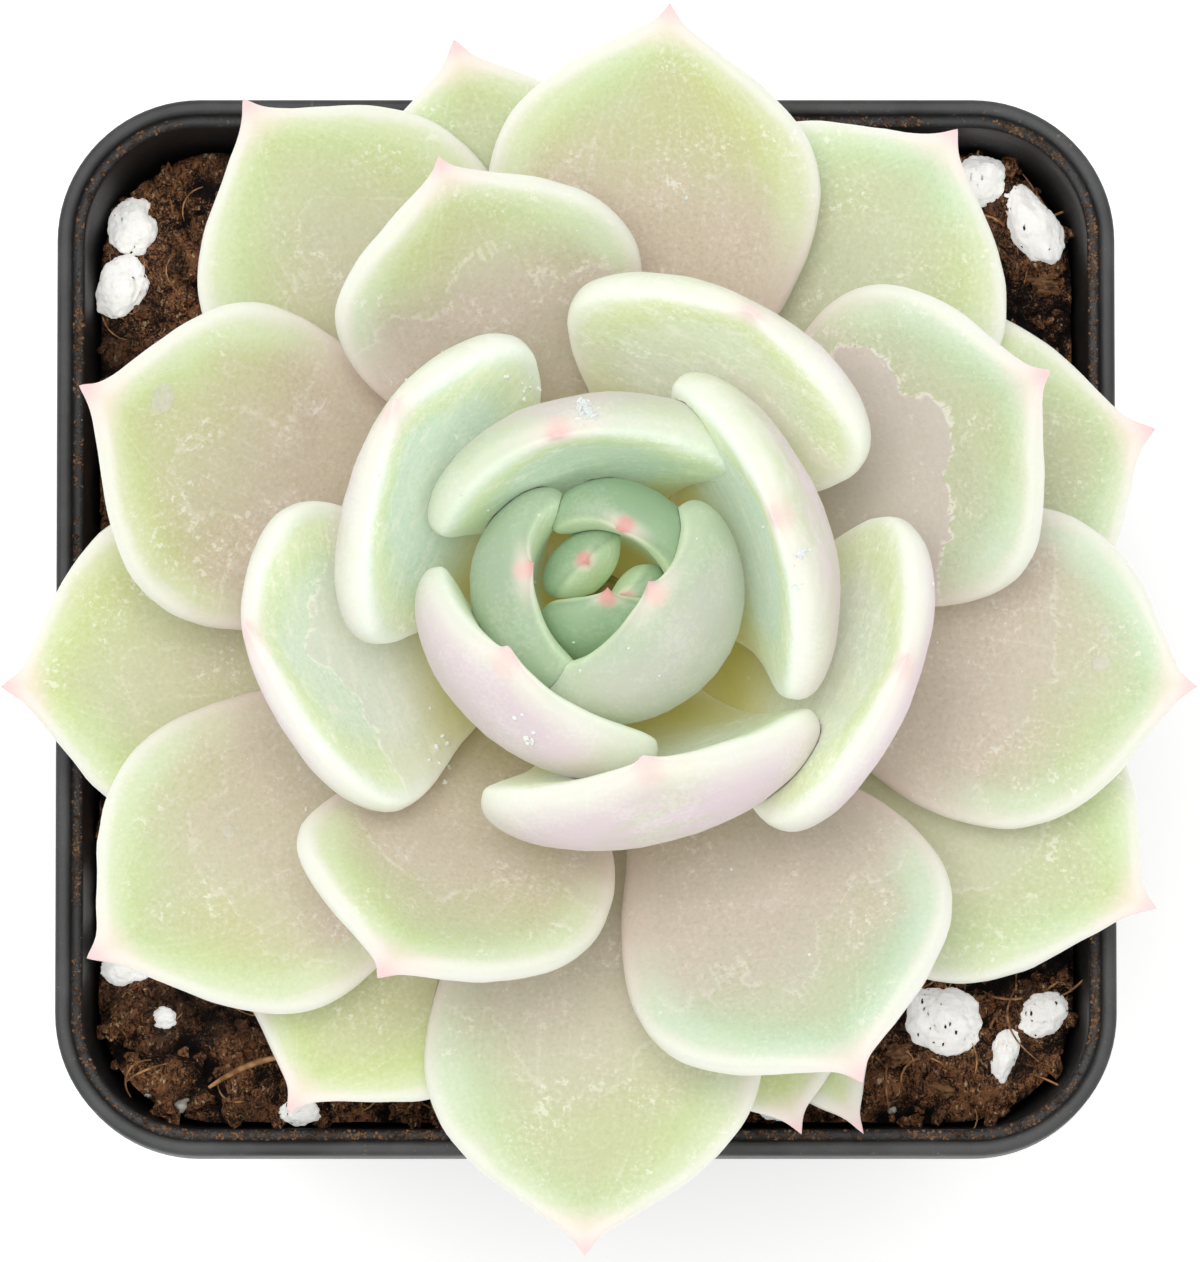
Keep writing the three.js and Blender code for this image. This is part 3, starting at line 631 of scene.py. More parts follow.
def perlite():
    """Puffed white glass: smooth and chalky, with small pits that hold dark peat in some stretches."""
    f = Finish(
        "perlite",
        Specular_IOR_Level=0.3,
        Subsurface_Weight=0.15,
        Subsurface_Scale=0.0006,
        Emission_Strength=GLOW_STRENGTH,
    )
    lump = f.noise(1.1, detail=2)
    where = f.rise(f.noise(1.5, detail=1), 0.42, 0.5)
    pit = f.rise(f.cells(0.5, at=f.stretched(1, 0.4, 1)) + f.noise(0.12, detail=2) * 0.16, 0.27, 0.2) * where
    tint = f.mix(linear(243, 243, 238), linear(253, 253, 250), lump)
    tint = f.mix(tint, linear(44, 34, 26), pit)
    tint = f.mix(tint, linear(170, 146, 118), f.rise(f.noise(0.6, detail=3, rough=0.7), 0.62, 0.7) * where * 0.5)
    chalk = f.noise(0.16, detail=2)
    relief = f.bump(chalk * 0.5 - pit, 0.09)
    # Painted light: the grains glow with their own colour, so that they stay chalk white in the shade of the pot's wall
    # and the leaves.
    return f.finish(Base_Color=tint, Emission_Color=tint, Roughness=0.68 + 0.2 * lump, Normal=relief)


def farina():
    """Loose white wax powder."""
    f = Finish("farina", Specular_IOR_Level=0.2, Subsurface_Weight=0.2, Subsurface_Scale=0.0004)
    grain = f.noise(0.2, detail=2)
    return f.finish(Base_Color=f.mix(linear(232, 234, 230), linear(252, 252, 250), grain), Roughness=0.8 + 0.1 * grain)


def dried_drop():
    """A faint film of wax that a drop of water left."""
    f = Finish("dried_drop", Specular_IOR_Level=0.5)
    tone = f.noise(0.5, detail=2)
    return f.finish(
        Base_Color=f.mix(linear(226, 224, 206), linear(244, 244, 232), tone),
        Roughness=0.35 + 0.2 * tone,
        Alpha=0.4 + 0.3 * tone,
    )


def bark_fibre():
    """Brown bark with pale fibres along it."""
    f = Finish("bark_fibre", Specular_IOR_Level=0.3)
    strand = f.noise(0.3, detail=4, rough=0.7, at=f.stretched(0.35, 1, 1))
    tint = f.mix(linear(78, 50, 30), linear(158, 118, 80), f.rise(strand, 0.35, 0.66))
    return f.finish(Base_Color=tint, Roughness=0.65 + 0.25 * strand, Normal=f.bump(strand, 0.12))


def straw(name, dark, light):
    """Dry plant fibre, lighter and darker along its length."""
    f = Finish(name, Specular_IOR_Level=0.3)
    tone = f.noise(0.8, detail=3)
    return f.finish(Base_Color=f.mix(dark, light, f.rise(tone, 0.35, 0.65)), Roughness=0.6 + 0.2 * tone)


# Leaves.


def along_rows(rows, where):
    """The smooth curve through a table's rows, at the places given as an array."""
    at, value = (np.array(column, float) for column in zip(*rows))
    inner = np.arange(len(at))
    before, after = np.maximum(inner - 1, 0), np.minimum(inner + 1, len(at) - 1)
    steps = (value[after] - value[before]) / (at[after] - at[before])
    where = np.clip(np.asarray(where, float), at[0], at[-1])
    i = np.clip(np.searchsorted(at, where), 1, len(at) - 1)
    span = at[i] - at[i - 1]
    t = (where - at[i - 1]) / span
    blend = t * t * (3 - 2 * t)
    swell = span * t * (1 - t) * (steps[i - 1] * (1 - t) - steps[i] * t)
    return value[i - 1] * (1 - blend) + value[i] * blend + swell


def signed_power(values, power):
    return np.sign(values) * np.abs(values) ** power


def midrib(leaf, age, along):
    """Where the leaf's spine runs, as radius, height and slope, from the stem to the tip on a circular arc."""
    foot_height = HIGHEST_LEAF + (LOWEST_LEAF - HIGHEST_LEAF) * age - leaf.get("drop", 0)
    foot_radius = float(along_rows(STEM_PROFILE, foot_height)) + CLEARANCE
    bend = math.radians(leaf["bend"])
    out, up = leaf["reach"] - leaf.get("spur", 0) - foot_radius, leaf["tip"] - foot_height
    radius = math.hypot(out, up) / 2 / math.sin(bend / 2)
    first = math.atan2(up, out) - bend / 2
    slope = first + bend * along
    return (
        foot_radius + radius * (np.sin(slope) - math.sin(first)),
        foot_height - radius * (np.cos(slope) - math.cos(first)),
        slope,
    )


def leaf_form(leaf, age, along, turn, grow=0.0):
    """The leaf's surface at shares of its length and turns round its section: points in millimetres, then the
    place across it, its depth inside the margin, and its side, from -1 under the leaf to 1 on its face."""
    radius, height, slope = midrib(leaf, age, along)
    widest = leaf["width"] / 2
    half = widest * along_rows(OUTLINE, along) + grow
    thick = leaf["width"] * THICKEST * leaf.get("plump", 1) * along_rows(THICKNESS, along)
    side_of = signed_power(np.sin(turn), EDGE_POWER)
    upper = leaf.get("face", UPPER_SHARE)
    share = np.where(np.sin(turn) > 0, upper, 1 - upper)
    x = signed_power(np.cos(turn), EDGE_POWER)
    across = half * x
    above = (thick * share + grow) * side_of
    curl = math.radians(leaf["cup"]) / widest
    bulge = np.sin(math.pi * along)
    drift = leaf.get("lean", 0) * bulge + leaf.get("swing", 0) * along**6
    side = drift + np.sin(curl * across) * (1 / curl - above)
    up = (1 - np.cos(curl * across)) / curl + above * np.cos(curl * across)
    ahead = across * math.tan(math.radians(leaf.get("skew", 0))) * bulge
    point = leaf.get("spur", 0) * (np.clip(along - SPUR_START, 0, None) / (1 - SPUR_START)) ** 2
    out = radius + point - up * np.sin(slope) + ahead * np.cos(slope)
    azimuth = math.radians(leaf["azimuth"])
    points = np.stack(
        [
            CROWN.x + out * math.cos(azimuth) + side * math.sin(azimuth),
            CROWN.y + out * math.sin(azimuth) - side * math.cos(azimuth),
            height + up * np.cos(slope) + ahead * np.sin(slope),
        ],
        axis=-1,
    )
    return points, x, np.hypot(half - np.abs(across), above), side_of


def leaf_blank(name, leaf, age, segments, rings, grow=0.0):
    """A round ball drawn out into the leaf's form, with maps of where each point is on the leaf."""
    ball = added(name, bpy.ops.mesh.primitive_uv_sphere_add, segments=segments, ring_count=rings, radius=1)
    flat = coordinates(ball) * MM
    ring = np.rint(np.arccos(np.clip(flat[:, 2], -1, 1)) / (math.pi / rings))
    share = np.clip((ring - 1) / (rings - 2), 0, 1)
    along = np.where(ring == 0, 1, 1 - 0.008 - 0.992 * share**1.3)
    along[ring >= rings - 1] = 0
    turn = np.arctan2(flat[:, 1], flat[:, 0])
    points, x, depth, side = leaf_form(leaf, age, along, turn, grow)
    foot = ring == rings
    points[foot] = points[ring == rings - 1].mean(0)
    place(ball, points)
    ball.data.uv_layers[0].name = "leaf"
    ball.data.uv_layers.new(name="rim")
    corner = np.empty(len(ball.data.loops), int)
    ball.data.loops.foreach_get("vertex_index", corner)
    for layer, first, second in (("leaf", x, along), ("rim", depth, side)):
        pairs = np.stack([first[corner], second[corner]], axis=1)
        ball.data.uv_layers[layer].uv.foreach_set("vector", pairs.ravel())
    return face_out(ball)


def uneven(piece, amount, seed):
    """Moves the surface in and out by up to this amount, in slow swells."""
    normals = np.empty(len(piece.data.vertices) * 3)
    piece.data.vertices.foreach_get("normal", normals)
    points = coordinates(piece)
    shift = Vector((seed * 7.3, seed * 3.1, seed * 5.7))
    swell = [noise.noise(Vector(p) / 5 + shift) + 0.35 * noise.noise(Vector(p) / 1.6 + shift) for p in points]
    place(piece, points + normals.reshape(-1, 3) * (amount * np.array(swell))[:, None])


def touches(first, second, gap=0.0):
    """Whether the boxes round two sets of points overlap."""
    return np.all(first.min(0) < second.max(0) + gap) and np.all(second.min(0) < first.max(0) + gap)


def cut(piece, cutters):
    """Takes the cutters out of the piece and keeps its largest part."""
    only(piece)
    for cutter in cutters:
        apply(piece, "BOOLEAN", operation="DIFFERENCE", object=cutter, solver="MANIFOLD")
    keep_largest(piece)


def keep_largest(piece):
    """Deletes all but the part of the piece with the most vertices."""
    mesh = piece.data
    links = [[] for _ in mesh.vertices]
    for edge in mesh.edges:
        a, b = edge.vertices
        links[a].append(b)
        links[b].append(a)
    part = [-1] * len(links)
    sizes = []
    for start in range(len(links)):
        if part[start] >= 0:
            continue
        part[start] = len(sizes)
        queue, count = [start], 0
        while queue:
            here = queue.pop()
            count += 1
            for there in links[here]:
                if part[there] < 0:
                    part[there] = part[start]
                    queue.append(there)
        sizes.append(count)
    if len(sizes) < 2:
        return
    best = sizes.index(max(sizes))
    only(piece)
    bpy.ops.object.mode_set(mode="EDIT")
    bpy.ops.mesh.select_mode(type="VERT")
    bpy.ops.mesh.select_all(action="DESELECT")
    bpy.ops.object.mode_set(mode="OBJECT")
    for vertex in mesh.vertices:
        vertex.select = part[vertex.index] != best
    bpy.ops.object.mode_set(mode="EDIT")
    bpy.ops.mesh.delete(type="VERT")
    bpy.ops.object.mode_set(mode="OBJECT")


LEAF_SEGMENTS = 72
LEAF_RINGS = 80
BLUSH_AT = 0.955  # where the pink spot below the tip sits, along the leaf's back
VISUAL_GAP = 0.08


class ECHEVERIA_OT_leaves(Operator):
    """Shapes the 32 leaves from the youngest out, each cut where younger ones press on it"""

    bl_idname = "echeveria.leaves"
    bl_label = "Leaves"

    def execute(self, context):
        looks = context.scene.echeveria_leaf
        skins = {
            slot: leaf_skin(slot, looks) for slot in ("inner_leaf_skin", "upright_leaf_skin", "open_leaf_skin")
        }
        taken = []
        for index, leaf in enumerate(LEAVES):
            age = index / (len(LEAVES) - 1)
            piece = leaf_blank(leaf["name"] + "_skin", leaf, age, LEAF_SEGMENTS, LEAF_RINGS)
            uneven(piece, looks.waver / MM, index + 1)
            here = coordinates(piece)
            cut(piece, [cutter for cutter, there in taken if touches(here, there)])
            toned(piece, (leaf["taupe"], leaf["mint"], leaf["scuff"]))
            blush, *_ = leaf_form(leaf, age, np.array([BLUSH_AT]), np.array([-math.pi / 2]))
            away = np.linalg.norm(coordinates(piece) - blush, axis=1)
            for key, values in (("age", np.full(len(away), age)), ("from_blush", away)):
                piece.data.attributes.new(key, "FLOAT", "POINT").data.foreach_set("value", values)
            smooth(piece, 50)
            slot = SLOT_OF[leaf["name"].split("_")[0]]
            finished(piece, skins[slot], slot, leaf["name"])
            cutter = leaf_blank("cutter", leaf, age, 40, 44, VISUAL_GAP)
            uneven(cutter, looks.waver / MM, index + 1)
            taken.append((cutter, coordinates(cutter)))
        for cutter, _ in taken:
            bpy.data.objects.remove(cutter)
        return {"FINISHED"}


# What lies on the leaves.


def on_top(x, y):
    """Where a line straight down at this place first meets the plant, in millimetres, and the surface's normal."""
    context = bpy.context
    start = Vector((x, y, 120)) * MM
    hit, where, normal, *_ = context.scene.ray_cast(context.evaluated_depsgraph_get(), start, (0, 0, -1))
    return (where / MM, normal) if hit else (Vector((x, y, 0)), Vector((0, 0, 1)))


class ECHEVERIA_OT_marks(Operator):
    """Puts loose wax powder and the films of dried drops on the leaves"""

    bl_idname = "echeveria.marks"
    bl_label = "Powder and dried drops"

    def execute(self, context):
        draw = random.Random(5)
        spots = []
        for x, y, spread, count in POWDER:
            for _ in range(count):
                here, normal = on_top(draw.gauss(x, spread / 2), draw.gauss(y, spread / 2))
                size = 0.16 + 0.3 * draw.random() ** 2
                spots.append((here + normal * (0.1 * size), size))
        # The tuft stands up from the first of them.
        x, y, _, _ = POWDER[0]
        foot, _ = on_top(x, y)
        for step in range(16):
            rise = step / 15
            way = Vector((draw.uniform(-0.3, 0.3), 0.9 * rise + draw.uniform(-0.1, 0.1), 0.5 * rise))
            spots.append((foot + way, 0.5 - 0.25 * rise))
        for _ in range(90):
            x, y = CROWN.x + draw.gauss(0, 17), CROWN.y + draw.gauss(0, 17)
            here, normal = on_top(x, y)
            if here.z > 58:
                size = 0.1 + 0.16 * draw.random() ** 3
                spots.append((here + normal * (0.1 * size), size))
        powder = scattered("farina_flecks", spots, 2, 31)
        finished(smooth(powder, 70), farina(), "upright_leaf_skin")

        film = dried_drop()
        for index, (x, y, long_, broad, turn) in enumerate(DROPS, 1):
            here, normal = on_top(x, y)
            lens = added(
                f"dried_drop_{index}",
                bpy.ops.mesh.primitive_uv_sphere_add,
                segments=40,
                ring_count=16,
                radius=0.5 * MM,
                location=here * MM,
                rotation=normal.to_track_quat("Z", "Y").to_euler(),
                scale=(long_, broad, 0.09),
            )
            bpy.ops.transform.rotate(value=math.radians(turn), orient_axis="Z", orient_type="LOCAL")
            finished(smooth(settle(lens), 60), film, "open_leaf_skin")
        return {"FINISHED"}


# Pot.


class ECHEVERIA_OT_pot(Operator):
    """Shapes the square nursery pot from one block: lip, tapered wall, ledge, hollow and drain holes"""

    bl_idname = "echeveria.pot"
    bl_label = "Pot"

    def execute(self, context):
        sizes = context.scene.echeveria_pot
        skirt = sizes.height - sizes.skirt
        block = added(
            "pot_shell",
            bpy.ops.mesh.primitive_cube_add,
            size=1,
            location=(0, 0, skirt + sizes.skirt / 2),
            scale=(sizes.width, sizes.width, sizes.skirt),
        )
        settle(block)
        wall_top = sizes.width / 2 - sizes.proud
        bpy.ops.object.mode_set(mode="EDIT")
        pick(block, "EDGE", lambda middle, edge: abs(middle.z - (skirt + sizes.skirt / 2) / MM) < 0.1)
        bpy.ops.mesh.bevel(offset=sizes.corner, offset_type="OFFSET", segments=20, affect="EDGES")
        # The wall below the lip.
        pick(block, "FACE", lambda middle, face: face.normal.z < -0.9)
        bpy.ops.mesh.inset(thickness=sizes.proud, depth=0)
        self.drawn(0, skirt, sizes.base / 2 / wall_top)
        # The ledge, then the hollow.
        pick(block, "FACE", lambda middle, face: face.normal.z > 0.9)
        bpy.ops.mesh.inset(thickness=sizes.proud, depth=0)
        self.drawn(sizes.height - sizes.step, sizes.height, 1)
        bpy.ops.mesh.inset(thickness=sizes.wall, depth=0)
        self.drawn(skirt, sizes.height - sizes.step, 1)
        inner_top = wall_top - sizes.wall
        at_floor = sizes.base / 2 + (wall_top - sizes.base / 2) * sizes.floor / skirt - sizes.wall
        self.drawn(sizes.floor, skirt, at_floor / inner_top)
        bpy.ops.object.mode_set(mode="OBJECT")
        apply(block, "BEVEL", width=0.3 * MM, segments=3, limit_method="ANGLE", angle_limit=math.radians(35))
        for x in (-1, 1):
            for y in (-1, 1):
                drill = added(
                    "drill",
                    bpy.ops.mesh.primitive_cylinder_add,
                    vertices=48,
                    radius=sizes.drain_radius,
                    depth=sizes.floor * 4,
                    location=(x * sizes.drain_offset, y * sizes.drain_offset, 0),
                )
                apply(block, "BOOLEAN", operation="DIFFERENCE", object=drill, solver="MANIFOLD")
                bpy.data.objects.remove(drill)
        smooth(face_out(block), 40)
        finished(block, pot_plastic(sizes), "pot_plastic", "pot")
        return {"FINISHED"}

    def drawn(self, to, start, scale):
        """Extrudes the selected face from one height to another and resizes it there."""
        bpy.ops.mesh.extrude_region_move(TRANSFORM_OT_translate={"value": (0, 0, to - start)})
        bpy.ops.transform.resize(value=(scale, scale, 1), center_override=(0, 0, to))


# Soil and what lies on it.


def soil_height(x, y):
    """The peat's height at a place, before its clods, in millimetres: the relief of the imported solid."""
    swell = 0.45 * math.sin(0.55 * x + 1) * math.cos(0.48 * y) + 0.25 * math.sin(1.3 * x + 0.9 * y)
    for cx, cy, height, radius in CLODS:
        swell += height * math.exp(-((math.hypot(x - cx, y - cy) / radius) ** 4))
    return 50 + swell


def peat_height(x, y, clod):
    """The soil's height with rounded clods and finer crumbs on it."""
    p = Vector((x, y, 0))
    warp = noise.noise_vector(p / 2.5) * 0.9
    large = noise.voronoi((p + warp) / clod)[0]
    small = noise.voronoi((p + warp) / (clod * 0.36) + Vector((9, 4, 2)))[0]
    dome = 0.7 - 2.2 * large[0] ** 2 + 0.5 * min(large[1] - large[0], 0.4)
    crumb = 0.24 - 1.1 * small[0] ** 2
    grit = noise.noise(p / 0.5) * 0.24 + noise.noise(p / 0.24) * 0.12
    # It dips where a grain lies in it.
    clear = min(math.hypot(x - row[0], y - row[1]) / (row[2] + row[3]) for row in (*PERLITE, *BARK))
    clear = min(max(clear * 4 - 0.8, 0), 1)
    return soil_height(x, y) + (1.25 * dome + 1.1 * crumb) * clear + grit


def rounded_square(points, half, corner):
    """Square points from -1 to 1 brought inside a square with rounded corners, in rings."""
    reach = np.maximum(np.abs(points).max(1), 1e-9)
    way = points / reach[:, None]
    flat = half - corner
    small = np.abs(way).min(1)
    a = 1 + small**2
    b = -2 * flat * (1 + small)
    c = 2 * flat**2 - corner**2
    root = np.sqrt(np.maximum(b * b - 4 * a * c, 0))
    edge = np.where(small * half > flat, (-b + root) / (2 * a), half)
    return way * (edge * reach)[:, None]


class ECHEVERIA_OT_soil(Operator):
    """Fills the pot with peat mix, its clods raised from a finely divided sheet"""

    bl_idname = "echeveria.soil"
    bl_label = "Soil"

    def execute(self, context):
        pot, looks = context.scene.echeveria_pot, context.scene.echeveria_soil
        low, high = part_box("soil")
        half, foot = high.x / MM, 1.7
        cells = 300
        sheet = added(
            "peat", bpy.ops.mesh.primitive_grid_add, x_subdivisions=cells, y_subdivisions=cells, size=2
        )
        corner = pot.corner / MM - 1.2
        flat = rounded_square(coordinates(sheet)[:, :2] * MM, half, corner)
        heights = np.array([peat_height(x, y, looks.clod / MM) for x, y in flat])
        stand = (heights - [soil_height(x, y) for x, y in flat]) / 1.6 + 0.4
        edge = np.abs(coordinates(sheet)[:, :2] * MM).max(1)
        heights -= np.clip((edge - 0.985) / 0.015, 0, 1) * 0.5
        place(sheet, np.column_stack([flat, heights]))
        # The sides and the underside, inside the pot's wall.
        only(sheet)
        bpy.ops.object.mode_set(mode="EDIT")
        bpy.ops.mesh.select_mode(type="EDGE")
        bpy.ops.mesh.select_all(action="DESELECT")
        bpy.ops.mesh.select_non_manifold()
        shrink = (low.x / -MM - 5.5) / half
        bpy.ops.mesh.extrude_edges_move()
        bpy.ops.transform.resize(value=(shrink, shrink, 0), center_override=(0, 0, foot * MM))
        bpy.ops.mesh.edge_face_add()
        bpy.ops.object.mode_set(mode="OBJECT")
        tone = np.zeros((len(sheet.data.vertices), 3))
        tone[: len(stand), 0] = stand
        toned(sheet, tone)
        smooth(face_out(sheet), 60)
        finished(sheet, peat("peat_soil", looks), "peat_soil", "soil")
        return {"FINISHED"}


def lump(name, detail, seed, strength, pits=0.0):
    """A ball of width one, made lumpy and, with pits, dented."""
    ball = added(name, bpy.ops.mesh.primitive_ico_sphere_add, subdivisions=detail, radius=1)
    shift = Vector((seed * 3.7, seed * 1.9, seed * 8.3))
    points = []
    for vertex in ball.data.vertices:
        way = vertex.co.normalized()
        size = 0.5 * (1 + strength * noise.noise(way * 1.3 + shift))
        size += 0.5 * strength * 0.4 * noise.noise(way * 3.4 + shift)
        size += 0.03 * noise.noise(way * 9 + shift)
        hole = noise.voronoi(way * 4.2 + shift)[0][0]
        size -= pits * max(0, 0.3 - hole)
        points.append(way * size)
    place(ball, points)
    return ball


def grain(name, row, seed, detail, strength, pits=0.0):
    """One grain in its place on the soil, turned and sized as its row in the table says."""
    x, y, length_, breadth, height, turn = row
    piece = lump(name, detail, seed, strength, pits)
    fit = coordinates(piece)
    span = fit.max(0) - fit.min(0)
    fit = (fit - (fit.max(0) + fit.min(0)) / 2) / span * (length_, breadth, height)
    c, s = math.cos(math.radians(turn)), math.sin(math.radians(turn))
    turned = fit @ np.array([[c, s, 0], [-s, c, 0], [0, 0, 1]])
    place(piece, turned + (x, y, soil_height(x, y) + 0.15 * height))
    return piece


class ECHEVERIA_OT_grains(Operator):
    """Sets the perlite grains and the crumbs of bark in the soil's surface"""

    bl_idname = "echeveria.grains"
    bl_label = "Perlite and bark"

    def execute(self, context):
        white, brown = perlite(), bark_fibre()
        for index, row in enumerate(PERLITE, 1):
            piece = grain(f"perlite_grain_{index}", row, index, 5, 0.24, 0.07)
            finished(smooth(piece, 80), white, "perlite", f"perlite_{index}")
        pale = straw("pale_grit", linear(150, 146, 138), linear(226, 224, 214))
        for index, row in enumerate(GRIT, 1):
            finished(smooth(grain(f"grit_{index}", row, index + 60, 3, 0.5), 60), pale, "perlite")
        for index, row in enumerate(BARK, 1):
            piece = grain(f"bark_crumb_{index}", row, index + 40, 4, 0.7)
            finished(smooth(piece, 40), brown, "bark", f"bark_{index}")
        return {"FINISHED"}


def scattered(name, spots, detail, seed):
    """One mesh of many small crumbs, each a copy of one of a few lumps, at spots of place and size."""
    draw = random.Random(seed)
    forms = []
    for kind in range(6):
        ball = lump("form", detail, seed + kind, 0.9)
        forms.append((coordinates(ball), [tuple(f.vertices) for f in ball.data.polygons]))
        bpy.data.objects.remove(ball)
    points, faces = [], []
    for spot, size in spots:
        shape, sides = forms[draw.randrange(len(forms))]
        turn = draw.uniform(0, math.tau)
        c, s = math.cos(turn), math.sin(turn)
        stretch = np.array([draw.uniform(0.7, 1.3), draw.uniform(0.6, 1), draw.uniform(0.5, 0.9)]) * size
        base = len(points)
        points.extend((shape * stretch) @ np.array([[c, s, 0], [-s, c, 0], [0, 0, 1]]) + spot)
        faces.extend(tuple(base + i for i in side) for side in sides)
    return from_faces(name, points, faces)


def strand(route, radius, sides=5):
    """Points and faces of a thin tube along a route, closed at both ends and tapered to them."""
    points, faces = [], []
    for index, here in enumerate(route):
        before, after = route[max(index - 1, 0)], route[min(index + 1, len(route) - 1)]
        way = (Vector(after) - Vector(before)).normalized()
        aside = way.cross((0, 0, 1)).normalized()
        over = aside.cross(way)
        share = index / (len(route) - 1)
        thin = radius * (0.35 + 0.65 * math.sin(math.pi * (0.08 + 0.84 * share)))
        for k in range(sides):
            turn = math.tau * k / sides
            points.append(Vector(here) + (aside * math.cos(turn) + over * math.sin(turn)) * thin)
    last = len(points) - sides
    for ring in range(len(route) - 1):
        for k in range(sides):
            a, b = ring * sides + k, ring * sides + (k + 1) % sides
            faces.append((a, a + sides, b + sides, b))
    faces.append(tuple(range(sides)))
    faces.append(tuple(last + k for k in reversed(range(sides))))
    return points, faces


def strands(name, tubes):
    """One mesh of several tubes."""
    points, faces = [], []
    for more_points, more_faces in tubes:
        base = len(points)
        points.extend(more_points)
        faces.extend(tuple(base + i for i in face) for face in more_faces)
    return face_out(from_faces(name, points, faces))


def open_soil(draw, half):
    """A place on the soil near a corner of the pot, where the leaves leave it in view."""
    while True:
        x, y = draw.uniform(-half, half), draw.uniform(-half, half)
        if abs(x) + abs(y) > half * 1.12 and math.hypot(max(abs(x) - 22.5, 0), max(abs(y) - 22.5, 0)) < 7.3:
            return x, y


class ECHEVERIA_OT_litter(Operator):
    """Strews crumbs and fibres on the soil, and soil dust on the lip's ledge"""

    bl_idname = "echeveria.litter"
    bl_label = "Crumbs, fibres and dust"

    def execute(self, context):
        pot, looks = context.scene.echeveria_pot, context.scene.echeveria_soil
        draw = random.Random(7)
        spots = []
        for _ in range(looks.crumbs):
            x, y = open_soil(draw, 29.6)
            size = 0.35 + 1.1 * draw.random() ** 2.5
            spots.append(((x, y, peat_height(x, y, looks.clod / MM) + 0.12 * size), size))
        crumbs = scattered("soil_crumbs", spots, 2, 11)
        toned(crumbs, (0.7, 0, 0))
        finished(smooth(crumbs, 60), peat("peat_crumb", looks), "peat_soil")

        tubes = [self.fibre(draw, looks.clod / MM) for _ in range(looks.fibres)]
        tubes.append(self.stick(looks.clod / MM))
        tubes.append(self.root_hair(looks.clod / MM))
        dry = straw("dry_fibre", linear(150, 106, 66), linear(224, 172, 120))
        finished(smooth(strands("soil_fibres", tubes), 60), dry, "peat_soil")

        dust = scattered("lip_dust", self.ledge_spots(draw, pot, looks.dust), 1, 23)
        finished(smooth(dust, 60), straw("soil_dust", linear(62, 45, 33), linear(134, 100, 70)), "peat_soil")
        return {"FINISHED"}

    def fibre(self, draw, clod):
        """A thin curved root fibre that lies on the clods."""
        x, y = open_soil(draw, 29)
        way, bend = draw.uniform(0, math.tau), draw.uniform(-0.35, 0.35)
        step = draw.uniform(0.2, 0.5)
        route = []
        for _ in range(9):
            route.append((x, y, peat_height(x, y, clod) + 0.1 + draw.uniform(0, 0.12)))
            x, y, way = x + step * math.cos(way), y + step * math.sin(way), way + bend
        return strand(route, draw.uniform(0.035, 0.09))

    def stick(self, clod):
        """The tan stick near the front left corner."""
        ends = Vector((-22.9, -27.6)), Vector((-18.2, -25.7))
        route = []
        for index in range(12):
            share = index / 11
            x, y = ends[0].lerp(ends[1], share) + Vector((0, 0.35 * math.sin(math.pi * share)))
            route.append((x, y, 51.6 + 0.5 * share))
        return strand(route, 0.21, 8)

    def root_hair(self, clod):
        """The pale hair that curls over the soil at the front right."""
        route = []
        for index in range(16):
            share = index / 15
            x = 26.2 - 1.1 * math.sin(share * 2.6) + 1.9 * share**2
            y = -21.4 - 4.6 * share
            route.append((x, y, peat_height(x, y, clod) + 0.9 + 1.5 * math.sin(math.pi * share)))
        return strand(route, 0.07)

    def ledge_spots(self, draw, pot, count):
        """Specks along the ledge inside the lip, thicker in some stretches."""
        outer = pot.width / 2 / MM - pot.proud / MM
        straight, corner = outer - (pot.corner - pot.proud) / MM, (pot.corner - pot.proud) / MM
        top = (pot.height - pot.step) / MM
        spots = []
        while len(spots) < count:
            run = draw.uniform(0, 4)
            side, share = int(run), (run % 1) * 2 - 1
            inset = 0.05 + 0.6 * draw.random()
            turn = math.radians(90 * side)
            reach = share * (straight + corner * math.pi / 4)
            if abs(reach) <= straight:
                local = Vector((outer - inset, reach))
            else:
                arc = (abs(reach) - straight) / corner
                local = Vector((straight, math.copysign(straight, reach))) + (corner - inset) * Vector(
                    (math.cos(arc), math.copysign(math.sin(arc), reach))
                )
            x = local.x * math.cos(turn) - local.y * math.sin(turn)
            y = local.x * math.sin(turn) + local.y * math.cos(turn)
            if noise.noise(Vector((x, y, 0)) / 5) + 0.35 < draw.random() * 0.7:
                continue
            size = 0.065 + 0.2 * draw.random() ** 3
            spots.append(((x, y, top + 0.3 * size), size))
        return spots


# Stem.


